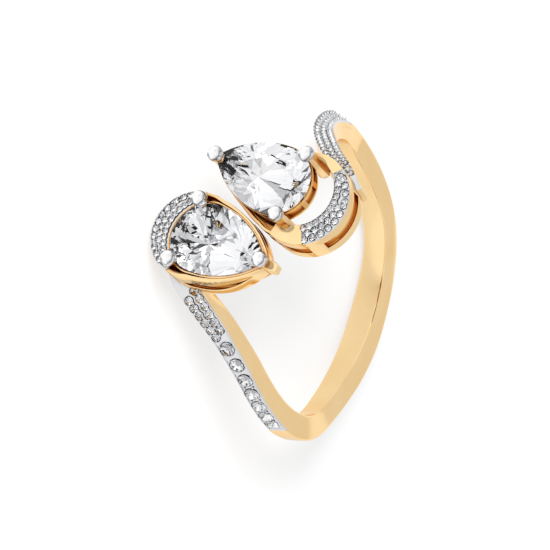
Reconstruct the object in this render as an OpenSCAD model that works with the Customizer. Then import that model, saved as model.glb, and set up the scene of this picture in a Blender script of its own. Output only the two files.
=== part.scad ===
/* [Finger size] */
// Inner diameter of the band, the finger size
finger_d = 17; // [15.5:0.1:20]
// Length of the finger hole's straight wall, past which the hole flares open
hole_l = 9.1; // [8:0.1:9.8]
// How far the hole flares open at its two ends
hole_flare = 0.4; // [0.2:0.05:0.6]

/* [Band] */
// Width of the band at the bottom
band_w = 1.75; // [1.5:0.05:2.4]
// Thickness of the band at the bottom
band_t = 1.9; // [1.5:0.05:2.3]
// How far each arm swings along the finger past the middle of the loop
arm_reach = 2.25; // [1.8:0.05:2.6]
// Size of the bevel along the outer edges of the band
band_bevel = 0.22; // [0.1:0.02:0.3]
// Size of the softened edge next to the finger
comfort_edge = 0.16; // [0.08:0.02:0.24]

/* [Pear stones] */
// Length of a pear stone
pear_l = 6.56; // [5.6:0.02:7.6]
// Width of a pear stone
pear_w = 4.36; // [3.9:0.02:5]
// Height of the crown above the girdle
pear_crown = 0.62; // [0.4:0.02:0.8]
// Depth of the pavilion below the girdle
pear_pavilion = 1.85; // [1.5:0.05:2.2]
// Thickness of the girdle
pear_girdle = 0.12; // [0.06:0.02:0.2]
// Width of the table as a share of the stone
table_share = 0.56; // [0.5:0.01:0.62]
// Height of the girdles above the finger's surface
head_rise = 3.27; // [3:0.05:4]
// Sideways distance from the ring's middle to each stone's middle
pear_x = 2.23; // [2:0.01:2.6]
// Distance from the ring's middle to each stone's middle along the finger
pear_y = 1; // [0.5:0.05:1.5]
// Turn of the stones away from the finger's direction
pear_turn = 20; // [10:1:28]

/* [Settings] */
// Running gap between a stone and its metal
seat_gap = 0.04; // [0.03:0.01:0.08]
// Thickness of the rim round a pear stone
rim_t = 0.3; // [0.22:0.01:0.4]
// Height of the rim round a pear stone
rim_h = 0.62; // [0.45:0.01:0.8]
// Height of the gallery rail below the rim
rail_h = 0.6; // [0.4:0.05:0.9]
// Diameter of the bead on a prong
bead_d = 1; // [0.8:0.02:1.2]
// Diameter of a prong's stem
prong_d = 0.8; // [0.6:0.02:0.9]
// Length of the beak past the tip of the left stone
beak_l = 0.85; // [0.5:0.05:1.2]

/* [Halo] */
// Width of the stone-set crescent round the left stone
halo_w = 1.14; // [1:0.01:1.25]
// Shift of the crescent's outer circle away from the stone
halo_offset = 0.9; // [0.6:0.05:1]
// Thickness of the crescent
halo_t = 0.95; // [0.7:0.05:1.2]

/* [Loop] */
// Radius of the open space inside the loop
loop_r = 2.18; // [2.1:0.02:2.4]
// Widest part of the loop's top
loop_w = 1.33; // [1.2:0.01:1.5]
// Height of the loop's wall
loop_h = 2.65; // [2.3:0.05:2.9]
// Distance from the stone's round end to the loop, at its widest
loop_gap = 1.16; // [1:0.02:1.4]
// Height of the slots in the loop's wall
slot_h = 0.5; // [0.4:0.02:0.6]

/* [Small stones] */
// Diameter of the stones in the single row on the left arm
row_stone_d = 0.9; // [0.8:0.01:0.95]
// Diameter of the stones in the double rows
small_stone_d = 0.44; // [0.38:0.01:0.46]
// Clear gap between neighbouring small stones
stone_gap = 0.13; // [0.11:0.01:0.2]
// How far the girdles of the small stones lie below the metal's surface
stone_sink = 0.03; // [0:0.01:0.08]
// Thickness of the metal edge beside each channel
channel_edge = 0.09; // [0.07:0.01:0.12]

/* [Hidden] */

gold = "#e3b45f";
diamond = "#eef1f5";

bore_fn = 96;
small_fn = 24;
finger_r = finger_d / 2;
girdle_z = finger_r + head_rise;
through = 3 * finger_d;
overlap = 0.05;
past = 1;

// Columns of the band's table
ANGLE = 0;
SWEEP = 1;
WIDTH = 2;
THICK = 3;
TILT = 4;

// Angle from the bottom of the ring, left negative, then the sweep along the finger as a share of
// arm_sweep, the width as a share of band_w, the thickness as a share of band_t and how far the
// back edge of the outer surface stands above its front edge as a share of the width
band_table = [
    [-166, 0.85, 0.24, 0.84, 0],
    [-159, 0.71, 0.66, 0.86, 0],
    [-151, 0.54, 0.76, 0.86, 0],
    [-138, 0.30, 0.70, 0.87, 0],
    [-120, 0.13, 0.64, 0.87, 0],
    [-80, 0.07, 0.70, 0.82, 0],
    [-40, 0.14, 0.80, 0.84, 0],
    [0, 0, 1.00, 1.00, 0],
    [40, -0.16, 0.90, 1.00, 0],
    [80, -0.09, 0.88, 0.91, 0],
    [105, -0.20, 0.86, 0.86, 0.04],
    [120, -0.28, 0.86, 0.88, 0.34],
    [138, -0.455, 0.74, 0.90, 0.42],
    [152, -0.65, 0.64, 0.96, 0.20],
    [161, -0.84, 0.54, 0.95, 0],
    [169, -1.00, 0.16, 0.90, 0]
];
band_first = band_table[0][ANGLE];
band_last = band_table[len(band_table) - 1][ANGLE];
band_steps = 72;

// Stretches of the band that carry stones, as angles from the bottom
row_first = -96;
row_last = -140;
twin_first = -143;
twin_last = -150;
ribbon_first = 102.5;
ribbon_mid = 148;
channel_end = 1;

// Last angle, searched downwards from u, at which the band's middle is clear of a round wall
function clear_angle(u, centre, r) =
    let (p = band_point(u, 0, band_top(u)))
    norm([p[0], p[1]] - centre) > r ? u : clear_angle(u - 0.5, centre, r);

// Smooth reading of one column of a table whose first column runs upwards
function slope_of(table, i, col) =
    let (a = max(i - 1, 0), b = min(i + 1, len(table) - 1))
    (table[b][col] - table[a][col]) / (table[b][0] - table[a][0]);

function row_of(table, u, i = 0) =
    i >= len(table) - 2 || u < table[i + 1][0] ? i : row_of(table, u, i + 1);

function read(table, u, col) =
    let (
        i = row_of(table, u),
        h = table[i + 1][0] - table[i][0],
        s = (u - table[i][0]) / h,
        m0 = slope_of(table, i, col) * h,
        m1 = slope_of(table, i + 1, col) * h
    )
    (2 * s ^ 3 - 3 * s ^ 2 + 1) * table[i][col] + (s ^ 3 - 2 * s ^ 2 + s) * m0
    + (3 * s ^ 2 - 2 * s ^ 3) * table[i + 1][col] + (s ^ 3 - s ^ 2) * m1;

function band_y(u) = arm_sweep * read(band_table, u, SWEEP);
function band_width(u) = band_w * read(band_table, u, WIDTH);
function band_top(u) = finger_r + band_t * read(band_table, u, THICK);
function band_tilt(u) = read(band_table, u, TILT);

// The band's own directions at an angle u from the bottom: outwards, along and across
function outwards(u) = [sin(u), 0, -cos(u)];
function along(u) =
    let (
        step = 0.5,
        rise = (band_y(u + step) - band_y(u - step)) / (2 * step * PI / 180) / band_top(u),
        v = [cos(u), rise, sin(u)]
    )
    v / norm(v);
function across(u) = cross(outwards(u), along(u));

// A point of the band at angle u, v across it and r from the finger's axis
function band_point(u, v, r) = outwards(u) * r + [0, band_y(u), 0] + across(u) * v;

// The band's cross-section as [across, radius] pairs
function band_section(u) =
    let (
        w = band_width(u) / 2,
        top = band_top(u),
        front = top - w * band_tilt(u),
        back = top + w * band_tilt(u),
        c = min(band_bevel, w * 0.6),
        e = min(comfort_edge, w * 0.4)
    )
    [
        [-w + 1.6 * e, finger_r - 0.6 * e],
        [w - 1.6 * e, finger_r - 0.6 * e],
        [w, finger_r + e],
        [w, front - c],
        [w - 0.3 * c, front - 0.3 * c],
        [w - c, front],
        [c - w, back],
        [0.3 * c - w, back - 0.3 * c],
        [-w, back - c],
        [-w, finger_r + e]
    ];

// The hole for the finger: a straight wall that flares open at both ends
flare_l = 2;
flare_in = 0.5;
module finger_hole() {
    rotate([90, 0, 0])
        cylinder(h = through, r = finger_r, center = true, $fn = bore_fn);
    for (turn = [90, -90])
        rotate([turn, 0, 0])
            translate([0, 0, hole_l / 2 - flare_in])
                cylinder(
                    h = flare_in + flare_l,
                    r1 = finger_r - hole_flare * flare_in / flare_l,
                    r2 = finger_r + hole_flare,
                    $fn = bore_fn
                );
}

// A closed solid through a list of sections, each a ring of as many points
module skin(rings) {
    m = len(rings[0]);
    n = len(rings);
    points = [for (ring = rings) each ring];
    sides = [
        for (i = [0 : n - 2], j = [0 : m - 1])
            let (k = (j + 1) % m)
            each [[i * m + j, i * m + m + k, i * m + k], [i * m + j, i * m + m + j, i * m + m + k]]
    ];
    first = [for (j = [1 : m - 2]) [0, j, j + 1]];
    last = [for (j = [1 : m - 2]) [(n - 1) * m, (n - 1) * m + j + 1, (n - 1) * m + j]];
    polyhedron(points = points, faces = concat(sides, first, last), convexity = 6);
}

module band() {
    skin([
        for (i = [0 : band_steps])
            let (u = band_first + (band_last - band_first) * i / band_steps)
            [for (p = band_section(u)) band_point(u, p[0], p[1])]
    ]);
}

// A channel cut along the band's outer surface
module band_channel(from, to, d) {
    n = max(4, ceil(abs(to - from) / 3));
    skin([
        for (i = [0 : n])
            let (
                u = from + (to - from) * i / n,
                w = max(channel_edge, band_width(u) / 2 - channel_edge),
                lean = w * band_tilt(u),
                low = band_top(u) - channel_depth(d),
                high = band_top(u) + past
            )
            [
                for (p = [[-w, low + lean], [w, low - lean], [w, high], [-w, high]])
                    band_point(u, p[0], p[1])
            ]
    ]);
}

// The outline of a pear, its tip towards +Y and its middle at the origin
pear_r = pear_w / 2;
pear_end_y = pear_r - pear_l / 2;
function pear_side_r(g) =
    let (l = pear_l - pear_r) (pear_r ^ 2 + l ^ 2) / (2 * pear_r) + g;
pear_side_x = pear_side_r(0) - pear_r;
function pear_tip_angle(g) = acos(pear_side_x / pear_side_r(g));
function pear_outline(g, n = 12) =
    let (r = pear_side_r(g), tip = pear_tip_angle(g))
    concat(
        [for (i = [0 : n]) let (a = tip * i / n) [r * cos(a) - pear_side_x, pear_end_y + r * sin(a)]],
        [for (i = [n - 1 : -1 : 0]) let (a = tip * i / n) [pear_side_x - r * cos(a), pear_end_y + r * sin(a)]],
        [for (i = [1 : n - 1]) let (a = 180 + 180 * i / n) [(pear_r + g) * cos(a), pear_end_y + (pear_r + g) * sin(a)]]
    );

// A pear stone with a girdle, a table and two tiers of facets above and below
module pear_gem(g = 0) {
    n = 8;
    rim = pear_outline(g, n);
    count = len(rim);
    middle = [0, pear_end_y * 0.5];
    function shrink(share, shift) = [
        for (j = [0 : count - 1])
            middle + share * ((1 - shift) * rim[j] + shift * rim[(j + 1) % count] - middle)
    ];
    function at(ring, z) = [for (p = ring) [p[0], p[1], z]];
    skin([
        at(shrink(0.02, 0), girdle_z - pear_girdle - pear_pavilion - g),
        at(shrink(0.45, 0), girdle_z - pear_girdle - pear_pavilion * 0.6 - g),
        at(rim, girdle_z - pear_girdle - g),
        at(rim, girdle_z + g),
        at(shrink((1 + table_share) / 2 + 0.06, 0), girdle_z + pear_crown * 0.62 + g),
        at(shrink(table_share, 0), girdle_z + pear_crown + g)
    ]);
}

// Places a thing in the right stone's own frame, or the left one's
module on_head(side) {
    rotate([0, 0, side > 0 ? 0 : 180])
        translate([pear_x, -pear_y, 0])
            rotate([0, 0, -pear_turn])
                children();
}

// Where a point of that frame lies in the ring's plan
function head_spot(side, p) =
    let (c = cos(pear_turn), s = sin(pear_turn))
    side * [pear_x + c * p[0] + s * p[1], c * p[1] - s * p[0] - pear_y];

module slab(z, h) {
    translate([0, 0, z])
        linear_extrude(height = h)
            children();
}

// Where the prongs stand round a stone: two beside its round end and one at its tip
prong_angle = 32;
prong_out = 0.19;
tip_prong_in = 0.12;
function prong_places() =
    let (r = pear_r + prong_out)
    [
        [r * cos(prong_angle), pear_end_y - r * sin(prong_angle)],
        [-r * cos(prong_angle), pear_end_y - r * sin(prong_angle)],
        [0, pear_l / 2 - tip_prong_in]
    ];
prong_line_y = prong_places()[0][1];

// Heights of the rail's foot, of the tops of the crescents and of the prongs' beads
rail_z = girdle_z - loop_h;
halo_top = girdle_z - 0.1;
loop_top = girdle_z - 0.42;
bead_z = girdle_z + 0.42;

// How far the rim stands outside a stone and how much wider the halo's inner edge is
rim_out = 0.16;
halo_lip = 0.12;

// Walls below the rims, and the lens-shaped windows in them
wall_t = 0.3;
window_h = 0.62;
window_end = 0.02;
window_from = 0.06;
window_to = 0.86;

// Beak: its width, its height, how far it reaches back and how narrow its point is
beak_w = 0.95;
beak_h = 1.05;
beak_back = 0.45;
beak_point = 0.22;

module prong(place, foot) {
    translate([place[0], place[1], foot])
        cylinder(h = bead_z - foot, d = prong_d, $fn = small_fn);
    translate([place[0], place[1], bead_z])
        sphere(d = bead_d, $fn = small_fn);
}

// Rim under the girdle, with the three prongs
module basket() {
    slab(girdle_z - rim_h, rim_h - pear_girdle / 2)
        difference() {
            polygon(pear_outline(rim_out));
            polygon(pear_outline(rim_out - rim_t));
        }
    places = prong_places();
    prong(places[0], rail_z);
    prong(places[1], rail_z);
    prong(places[2], girdle_z - beak_h);
}

// Columns of the side walls' table
LOOP_REACH = 1;
HALO_REACH = 2;
FOOT = 3;

// Share of the way from prong to tip, then how far the wall stands outside the stone as a share of
// its reach at the prong, on the loop's side and elsewhere, and how far its foot rises as a share
// of loop_h
wall_table = [
    [0, 1, 1, 0],
    [0.18, 0.82, 0.62, 0],
    [0.36, 0.50, 0.28, 0.02],
    [0.55, 0.12, 0.10, 0.12],
    [0.75, 0.02, 0.02, 0.30],
    [1, 0, 0, 0.50]
];

// A point beside the stone, turning from the prong's angle up to the tip
function side_point(t, g) =
    t < 0
    ? [(pear_r + g) * cos(t), pear_end_y + (pear_r + g) * sin(t)]
    : [pear_side_r(g) * cos(t) - pear_side_x, pear_end_y + pear_side_r(g) * sin(t)];
function side_at(s, g) = side_point(-prong_angle + (pear_tip_angle(g) + prong_angle) * s, g);

// Wall along one long side of a stone: hand is 1 or -1, column says which shares it follows, near
// is its reach beside the prong and far its reach at the tip. A long lens-shaped window leaves a
// rail below.
module side_wall(hand, column, near, far, top) {
    steps = 18;
    function reach(s) = far + (near - far) * read(wall_table, s, column);
    function foot(s) = rail_z + loop_h * read(wall_table, s, FOOT);
    function ring(s, out, low, high) =
        let (
            a = side_at(s, reach(s) - wall_t - out),
            b = side_at(s, reach(s) + out),
            section = [[a, low], [b, low], [b, high], [a, high]]
        )
        [for (p = section) [hand * p[0][0], p[0][1], p[1]]];
    function window(s) = 4 * s * (1 - s) * window_h / 2;
    difference() {
        skin(turned(hand, [for (i = [0 : steps]) let (s = i / steps) ring(s, 0, foot(s), top)]));
        skin(turned(hand, [
            for (i = [0 : steps])
                let (
                    s = window_from + (window_to - window_from) * i / steps,
                    mid = foot(s) + rail_h + window_h / 2,
                    h = max(window_end, window((s - window_from) / (window_to - window_from)))
                )
                ring(s, past, mid - h, mid + h)
        ]));
    }
}

// Rings on the stone's right-hand side run the other way round
function turned(hand, rings) =
    hand < 0 ? rings : [for (ring = rings) [for (j = [len(ring) - 1 : -1 : 0]) ring[j]]];

// Beak past the tip of the left stone, where its two side walls meet
module beak() {
    tip = pear_l / 2;
    function wedge(y, z) = [
        [-beak_w / 2, tip - beak_back, z],
        [beak_w / 2, tip - beak_back, z],
        [beak_w * beak_point, tip + y, z],
        [-beak_w * beak_point, tip + y, z]
    ];
    skin([wedge(beak_l * 0.62, halo_top - beak_h), wedge(beak_l, halo_top)]);
}

// Stone-set crescent that hugs the round end of the left stone
halo_in = rim_out + halo_lip;
halo_shift = [0, -halo_offset];
halo_r = pear_r + halo_in;
halo_out_r = halo_r + halo_w - halo_offset;
halo_centre = [0, pear_end_y];

// The part of a plan that lies outside the line through the two prongs
module below_line(y) {
    translate([-through / 2, y - through])
        square(through);
}

module halo_plan(edge) {
    intersection() {
        difference() {
            translate(halo_centre + halo_shift)
                circle(r = halo_out_r - edge, $fn = bore_fn);
            translate(halo_centre)
                circle(r = edge > 0 ? halo_r + edge : pear_r + rim_out - overlap, $fn = bore_fn);
        }
        below_line(prong_line_y - edge);
    }
}

module halo() {
    difference() {
        union() {
            slab(halo_top - halo_t, halo_t)
                halo_plan(0);
            slab(rail_z, halo_top - rail_z)
                difference() {
                    halo_plan(0);
                    translate(halo_centre + halo_shift)
                        circle(r = halo_out_r - wall_t, $fn = bore_fn);
                }
        }
        slab(halo_top - channel_depth(small_stone_d), halo_t)
            halo_plan(channel_edge);
    }
}

// Crescent-shaped loop with a tall slotted wall round the right stone's round end
loop_centre = [0, loop_r - pear_l / 2 - rim_t - loop_gap];
loop_reach = 0.46 * loop_w;
loop_lean = 35;
loop_shift = [-loop_reach * sin(loop_lean), -loop_reach * cos(loop_lean)];
loop_out_centre = loop_centre + loop_shift;
loop_out_r = loop_r + loop_w - loop_reach;

// Slots in the loop's wall: their foot, their depth and their ends as angles round the loop
slot_z = rail_z + (loop_top - rail_z - slot_h) * 0.45;
slot_depth = 0.3 * loop_w;
slot_spans = [[-188, -146], [-130, -66]];

// The arms swing this far, and the stones on the right arm end where the loop's wall begins
loop_middle = head_spot(1, loop_out_centre);
arm_sweep = arm_reach - loop_middle[1];
ribbon_last = clear_angle(band_last, loop_middle, loop_out_r + stone_sink);

module loop_plan(edge) {
    intersection() {
        difference() {
            translate(loop_out_centre)
                circle(r = loop_out_r - edge, $fn = bore_fn);
            translate(loop_centre)
                circle(r = loop_r + edge, $fn = bore_fn);
        }
        below_line(prong_line_y);
    }
}

// A pie slice in plan from one angle to another
function pie(from, to, r) =
    concat([[0, 0]], [for (i = [0 : 8]) let (a = from + (to - from) * i / 8) r * [cos(a), sin(a)]]);

// Stretches of the crescents that carry stones, as angles round their inner circles
loop_first = -170;
loop_last = -42;
halo_first = -142;
halo_last = -38;

// How far the side walls stand out beside the prongs, a little inside the edges of the loop and the
// halo, and at the tips
wall_inset = 0.03;
loop_near =
    let (x = loop_out_centre[0] - sqrt(loop_out_r ^ 2 - (prong_line_y - loop_out_centre[1]) ^ 2))
    norm([x, prong_line_y - pear_end_y]) - pear_r - wall_inset;
halo_near = crescent_edge(halo_shift, halo_out_r, -prong_angle) - pear_r - wall_inset;
wall_reach = 0.3;
tip_reach = 0.06;

module loop() {
    difference() {
        slab(rail_z, loop_top - rail_z)
            loop_plan(0);
        slab(loop_top - channel_depth(small_stone_d), loop_h)
            intersection() {
                loop_plan(channel_edge);
                translate(loop_centre)
                    polygon(pie(loop_first, loop_last, 2 * loop_out_r));
            }
        for (span = slot_spans)
            translate([loop_out_centre[0], loop_out_centre[1], slot_z])
                linear_extrude(height = slot_h)
                    intersection() {
                        difference() {
                            circle(r = loop_out_r + past, $fn = bore_fn);
                            circle(r = loop_out_r - slot_depth, $fn = bore_fn);
                        }
                        polygon(pie(span[0], span[1], 2 * loop_out_r));
                    }
    }
}

// Depth of a small stone below its girdle as a share of its diameter
culet_share = 0.42;

// Depth of the channel for stones of diameter d
function channel_depth(d) = stone_sink + culet_share * d + seat_gap;

// A small round stone with a table, its girdle at the origin
module small_gem(d) {
    sides = 8;
    r = d / 2;
    function octagon(k, z) = [for (i = [0 : sides - 1]) [k * r * cos(45 * i), k * r * sin(45 * i), z]];
    skin([octagon(0.06, -culet_share * d), octagon(1, -0.04 * d), octagon(1, 0), octagon(0.58, 0.15 * d)]);
}

// Turns a thing so that its +Z points outwards from the band at angle u
module on_band(u, v, lift) {
    tilt = atan(band_tilt(u));
    x = along(u);
    z = outwards(u) * cos(tilt) + across(u) * sin(tilt);
    y = cross(z, x);
    p = band_point(u, v, band_top(u) - v * band_tilt(u)) + z * lift;
    multmatrix([
        [x[0], y[0], z[0], p[0]],
        [x[1], y[1], z[1], p[1]],
        [x[2], y[2], z[2], p[2]],
        [0, 0, 0, 1]
    ])
        children();
}

// Evenly spaced places from one angle to another, at least a pitch apart
function row_count(length, pitch) = max(1, floor(length / pitch));
function arc_length(from, to, r) = abs(to - from) * PI / 180 * r;

module band_row(from, to, d, v_share, phase) {
    pitch = d + stone_gap;
    n = row_count(arc_length(from, to, band_top((from + to) / 2) - culet_share * d), pitch);
    for (i = [0 : n - 1]) {
        u = from + (to - from) * (i + phase) / n;
        on_band(u, v_share * (band_width(u) / 2 - channel_edge - d / 2), -stone_sink)
            small_gem(d);
    }
}

// How far a crescent's outer edge lies from its inner circle's middle, at angle a
function crescent_edge(shift, out_r, a) =
    let (d = shift * [cos(a), sin(a)])
    d + sqrt(out_r ^ 2 - shift * shift + d ^ 2);

// One of the two rows of small stones on a crescent: k is 0 for the inner row
module crescent_row(centre, r, shift, out_r, from, to, z, k) {
    n = row_count(arc_length(from, to, r), small_stone_d + stone_gap);
    for (i = [0 : n - 1]) {
        a = from + (to - from) * (i + 0.25 + 0.5 * k) / n;
        free = crescent_edge(shift, out_r, a) - r - 2 * channel_edge;
        row_r = r + channel_edge + free * (k == 0 ? 0.28 : 0.72);
        translate([centre[0] + row_r * cos(a), centre[1] + row_r * sin(a), z - stone_sink])
            small_gem(small_stone_d);
    }
}

// The ring is modelled standing up as worn, then laid on its side, where it rests on three points:
// two on the band's back edge, at these angles from the bottom, and one on the foot of the halo
rest_low = 12;
rest_side = 66;
rest_turn = 12.5;
function band_edge(u) = band_point(u, -band_width(u) / 2, band_top(u) - band_bevel);
halo_middle = head_spot(-1, halo_centre + halo_shift);
halo_foot = [
    halo_middle[0] + halo_out_r * sin(rest_turn),
    halo_middle[1] + halo_out_r * cos(rest_turn),
    rail_z
];
rest_normal = cross(band_edge(rest_side) - band_edge(rest_low), halo_foot - band_edge(rest_low));
up = rest_normal / (rest_normal[1] > 0 ? -norm(rest_normal) : norm(rest_normal));
side_raw = [-1, 0, 0] + up * up[0];
sideways = side_raw / norm(side_raw);
forward = cross(up, sideways);
module lay_down() {
    multmatrix([
        [sideways[0], sideways[1], sideways[2], 0],
        [forward[0], forward[1], forward[2], 0],
        [up[0], up[1], up[2], 0],
        [0, 0, 0, 1]
    ])
        children();
}

module ring_frame() {
    color(gold)
        lay_down()
            difference() {
                union() {
                    difference() {
                        band();
                        on_head(1)
                            slab(0, loop_top)
                                translate(loop_centre)
                                    circle(r = loop_r, $fn = bore_fn);
                        on_head(-1)
                            slab(0, halo_top)
                                translate(halo_centre + halo_shift)
                                    circle(r = halo_out_r - wall_t, $fn = bore_fn);
                        band_channel(row_last - 1.5 * channel_end, row_first + channel_end, row_stone_d);
                        band_channel(twin_last - channel_end, row_last - channel_end, small_stone_d);
                        band_channel(ribbon_first - channel_end, ribbon_last + channel_end, small_stone_d);
                    }
                    on_head(1) {
                        basket();
                        side_wall(-1, LOOP_REACH, loop_near, tip_reach, loop_top - 0.1);
                        side_wall(1, HALO_REACH, rim_out, tip_reach, girdle_z - rim_h / 2);
                        loop();
                    }
                    on_head(-1) {
                        basket();
                        side_wall(-1, HALO_REACH, halo_near, wall_reach, halo_top - 0.06);
                        side_wall(1, HALO_REACH, halo_near, wall_reach, halo_top - 0.06);
                        beak();
                        halo();
                    }
                }
                finger_hole();
                on_head(1)
                    pear_gem(seat_gap);
                on_head(-1)
                    pear_gem(seat_gap);
            }
}

module left_pear() {
    color(diamond)
        lay_down()
            on_head(-1)
                pear_gem();
}

module right_pear() {
    color(diamond)
        lay_down()
            on_head(1)
                pear_gem();
}

// Single row of larger stones down the left arm, with a double row where the arm is widest
module arm_pave() {
    color(diamond)
        lay_down() {
            band_row(row_first, row_last, row_stone_d, 0, 0.5);
            band_row(twin_first, twin_last, small_stone_d, -1, 0.5);
            band_row(twin_first, twin_last, small_stone_d, 1, 0.5);
        }
}

// Two rows of small stones on the crescent round the left stone
module halo_pave() {
    color(diamond)
        lay_down()
            on_head(-1)
                for (k = [0, 1])
                    crescent_row(
                        halo_centre, halo_r, halo_shift, halo_out_r,
                        halo_first, halo_last, halo_top, k
                    );
}

// Two rows of small stones on the shoulder of the right arm, where its outer surface turns up
module ribbon_pave() {
    color(diamond)
        lay_down() {
            for (k = [-1, 1])
                band_row(ribbon_first, ribbon_mid, small_stone_d, k, 0.5 + 0.25 * k);
            band_row(ribbon_mid, ribbon_last, small_stone_d, 0, 0.6);
        }
}

// Two rows of small stones on the loop's top
module loop_pave() {
    color(diamond)
        lay_down()
            on_head(1)
                for (k = [0, 1])
                    crescent_row(
                        loop_centre, loop_r, loop_shift, loop_out_r,
                        loop_first, loop_last, loop_top, k
                    );
}

ring_frame();
left_pear();
right_pear();
arm_pave();
halo_pave();
ribbon_pave();
loop_pave();
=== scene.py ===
"""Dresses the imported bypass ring: gold body, plated settings, cut stones, floor, light and camera.

Points are worked out in millimetres in the frame of the worn ring, where the finger runs along Y
and the stones are up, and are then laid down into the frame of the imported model.
"""

from __future__ import annotations

import logging
import math
import random
from dataclasses import dataclass, field, replace
from enum import Enum
from typing import Callable, Iterable, Sequence

import bmesh
import bpy
import numpy as np
from mathutils import Matrix, Vector

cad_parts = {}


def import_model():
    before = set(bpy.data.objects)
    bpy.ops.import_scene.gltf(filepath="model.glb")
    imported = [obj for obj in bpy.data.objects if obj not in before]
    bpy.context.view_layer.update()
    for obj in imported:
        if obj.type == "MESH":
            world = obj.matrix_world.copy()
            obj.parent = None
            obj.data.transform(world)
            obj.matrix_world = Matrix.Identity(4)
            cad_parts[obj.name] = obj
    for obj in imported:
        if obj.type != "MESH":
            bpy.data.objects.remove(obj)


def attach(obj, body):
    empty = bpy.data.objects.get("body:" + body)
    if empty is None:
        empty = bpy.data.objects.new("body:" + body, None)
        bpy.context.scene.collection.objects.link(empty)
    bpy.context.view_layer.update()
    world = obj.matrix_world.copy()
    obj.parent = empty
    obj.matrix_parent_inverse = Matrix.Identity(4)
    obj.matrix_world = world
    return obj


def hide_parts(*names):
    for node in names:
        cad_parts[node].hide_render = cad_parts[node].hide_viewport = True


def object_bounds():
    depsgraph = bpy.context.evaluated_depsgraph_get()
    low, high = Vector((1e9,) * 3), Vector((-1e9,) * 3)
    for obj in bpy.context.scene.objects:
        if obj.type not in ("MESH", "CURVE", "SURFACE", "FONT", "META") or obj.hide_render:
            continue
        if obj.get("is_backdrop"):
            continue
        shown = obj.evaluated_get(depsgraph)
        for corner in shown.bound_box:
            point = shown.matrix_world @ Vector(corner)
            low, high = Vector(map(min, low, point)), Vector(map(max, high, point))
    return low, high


LOG = logging.getLogger("ring")
MM = 0.001
# Face attribute with each lower facet's painted reflection, from dark to bright
SHADE = "shade"
Points = np.ndarray

# Directions of the laid-down ring's axes, in the frame of the worn ring
UP = np.array([-0.232461, -0.94988, 0.209019])
UP /= np.linalg.norm(UP)
SIDE = np.array([-1.0, 0.0, 0.0]) + UP * UP[0]
SIDE /= np.linalg.norm(SIDE)
LAY = np.array([SIDE, np.cross(UP, SIDE), UP])


def lay_down(points: Points) -> Points:
    """Turn points of the worn ring, in millimetres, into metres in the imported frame."""
    return np.asarray(points, float) @ LAY.T * MM


def unit(vector: Points) -> Points:
    """Scale vectors to length one."""
    vector = np.asarray(vector, float)
    return vector / np.linalg.norm(vector, axis=-1, keepdims=True)


def mix(a: float, b: float, share: float) -> float:
    """Go from a to b by a share."""
    return a + (b - a) * share


def ease(share: float) -> float:
    """Smooth step of a share between 0 and 1."""
    share = min(1.0, max(0.0, share))
    return share * share * (3 - 2 * share)


# Materials


class Value:
    """A shader socket that takes part in Python arithmetic."""

    def __init__(self, graph: "Graph", socket: bpy.types.NodeSocket) -> None:
        """Wrap a socket of a graph."""
        self.graph = graph
        self.socket = socket

    def _math(self, operation: str, *operands: "Value | float") -> "Value":
        """Add a Math node."""
        inputs = {i: operand for i, operand in enumerate(operands)}
        return self.graph.add("ShaderNodeMath", {"operation": operation}, inputs)

    def __add__(self, other: "Value | float") -> "Value":
        """Add."""
        return self._math("ADD", self, other)

    def __mul__(self, other: "Value | float") -> "Value":
        """Multiply."""
        return self._math("MULTIPLY", self, other)

    def __sub__(self, other: "Value | float") -> "Value":
        """Subtract."""
        return self._math("SUBTRACT", self, other)

    def clamped(self, low: float, high: float) -> "Value":
        """Map a range to 0 to 1, smoothly and without overshoot."""
        settings = {"interpolation_type": "SMOOTHSTEP", "clamp": True}
        return self.graph.add("ShaderNodeMapRange", settings, {0: self, 1: low, 2: high})


class Graph:
    """Node tree of a material or world."""

    def __init__(self, tree: bpy.types.NodeTree) -> None:
        """Start with an empty tree."""
        self.tree = tree
        tree.nodes.clear()

    def add(
        self,
        kind: str,
        settings: dict[str, object] | None = None,
        inputs: dict[object, object] | None = None,
        output: int | str = 0,
    ) -> Value | None:
        """Add a node.

        Args:
            kind: Blender's name of the node type.
            settings: Properties, set first. The stops of a ramp go under "stops".
            inputs: Socket names or numbers with their values or links.
            output: The socket that is returned.

        Returns:
            The wrapped output socket, or None for a node without one.
        """
        node = self.tree.nodes.new(kind)
        for name, value in (settings or {}).items():
            if name == "stops":
                ramp = node.color_ramp
                for place, colour in value:
                    stop = ramp.elements.new(place)
                    stop.color = (*colour, 1.0)
                ramp.elements.remove(ramp.elements[0])
                ramp.elements.remove(ramp.elements[-1])
            else:
                setattr(node, name, value)
        for key, value in (inputs or {}).items():
            socket = node.inputs[key]
            if isinstance(value, Value):
                self.tree.links.new(value.socket, socket)
            else:
                socket.default_value = value
        return Value(self, node.outputs[output]) if len(node.outputs) else None

    def blend(self, share: Value, a: object, b: object) -> Value:
        """Mix two colours by a share."""
        settings = {"data_type": "RGBA"}
        return self.add("ShaderNodeMix", settings, {0: share, 6: a, 7: b}, output=2)

    def along(self, vector: Value, direction: Sequence[float]) -> Value:
        """Give how far a vector reaches along a direction."""
        settings = {"operation": "DOT_PRODUCT"}
        return self.add("ShaderNodeVectorMath", settings, {0: vector, 1: direction}, output=1)


def rgba(colour: Sequence[float], gain: float = 1.0) -> tuple[float, ...]:
    """Give a colour its fourth number, and scale it."""
    return (*[c * gain for c in colour], 1.0)


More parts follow.
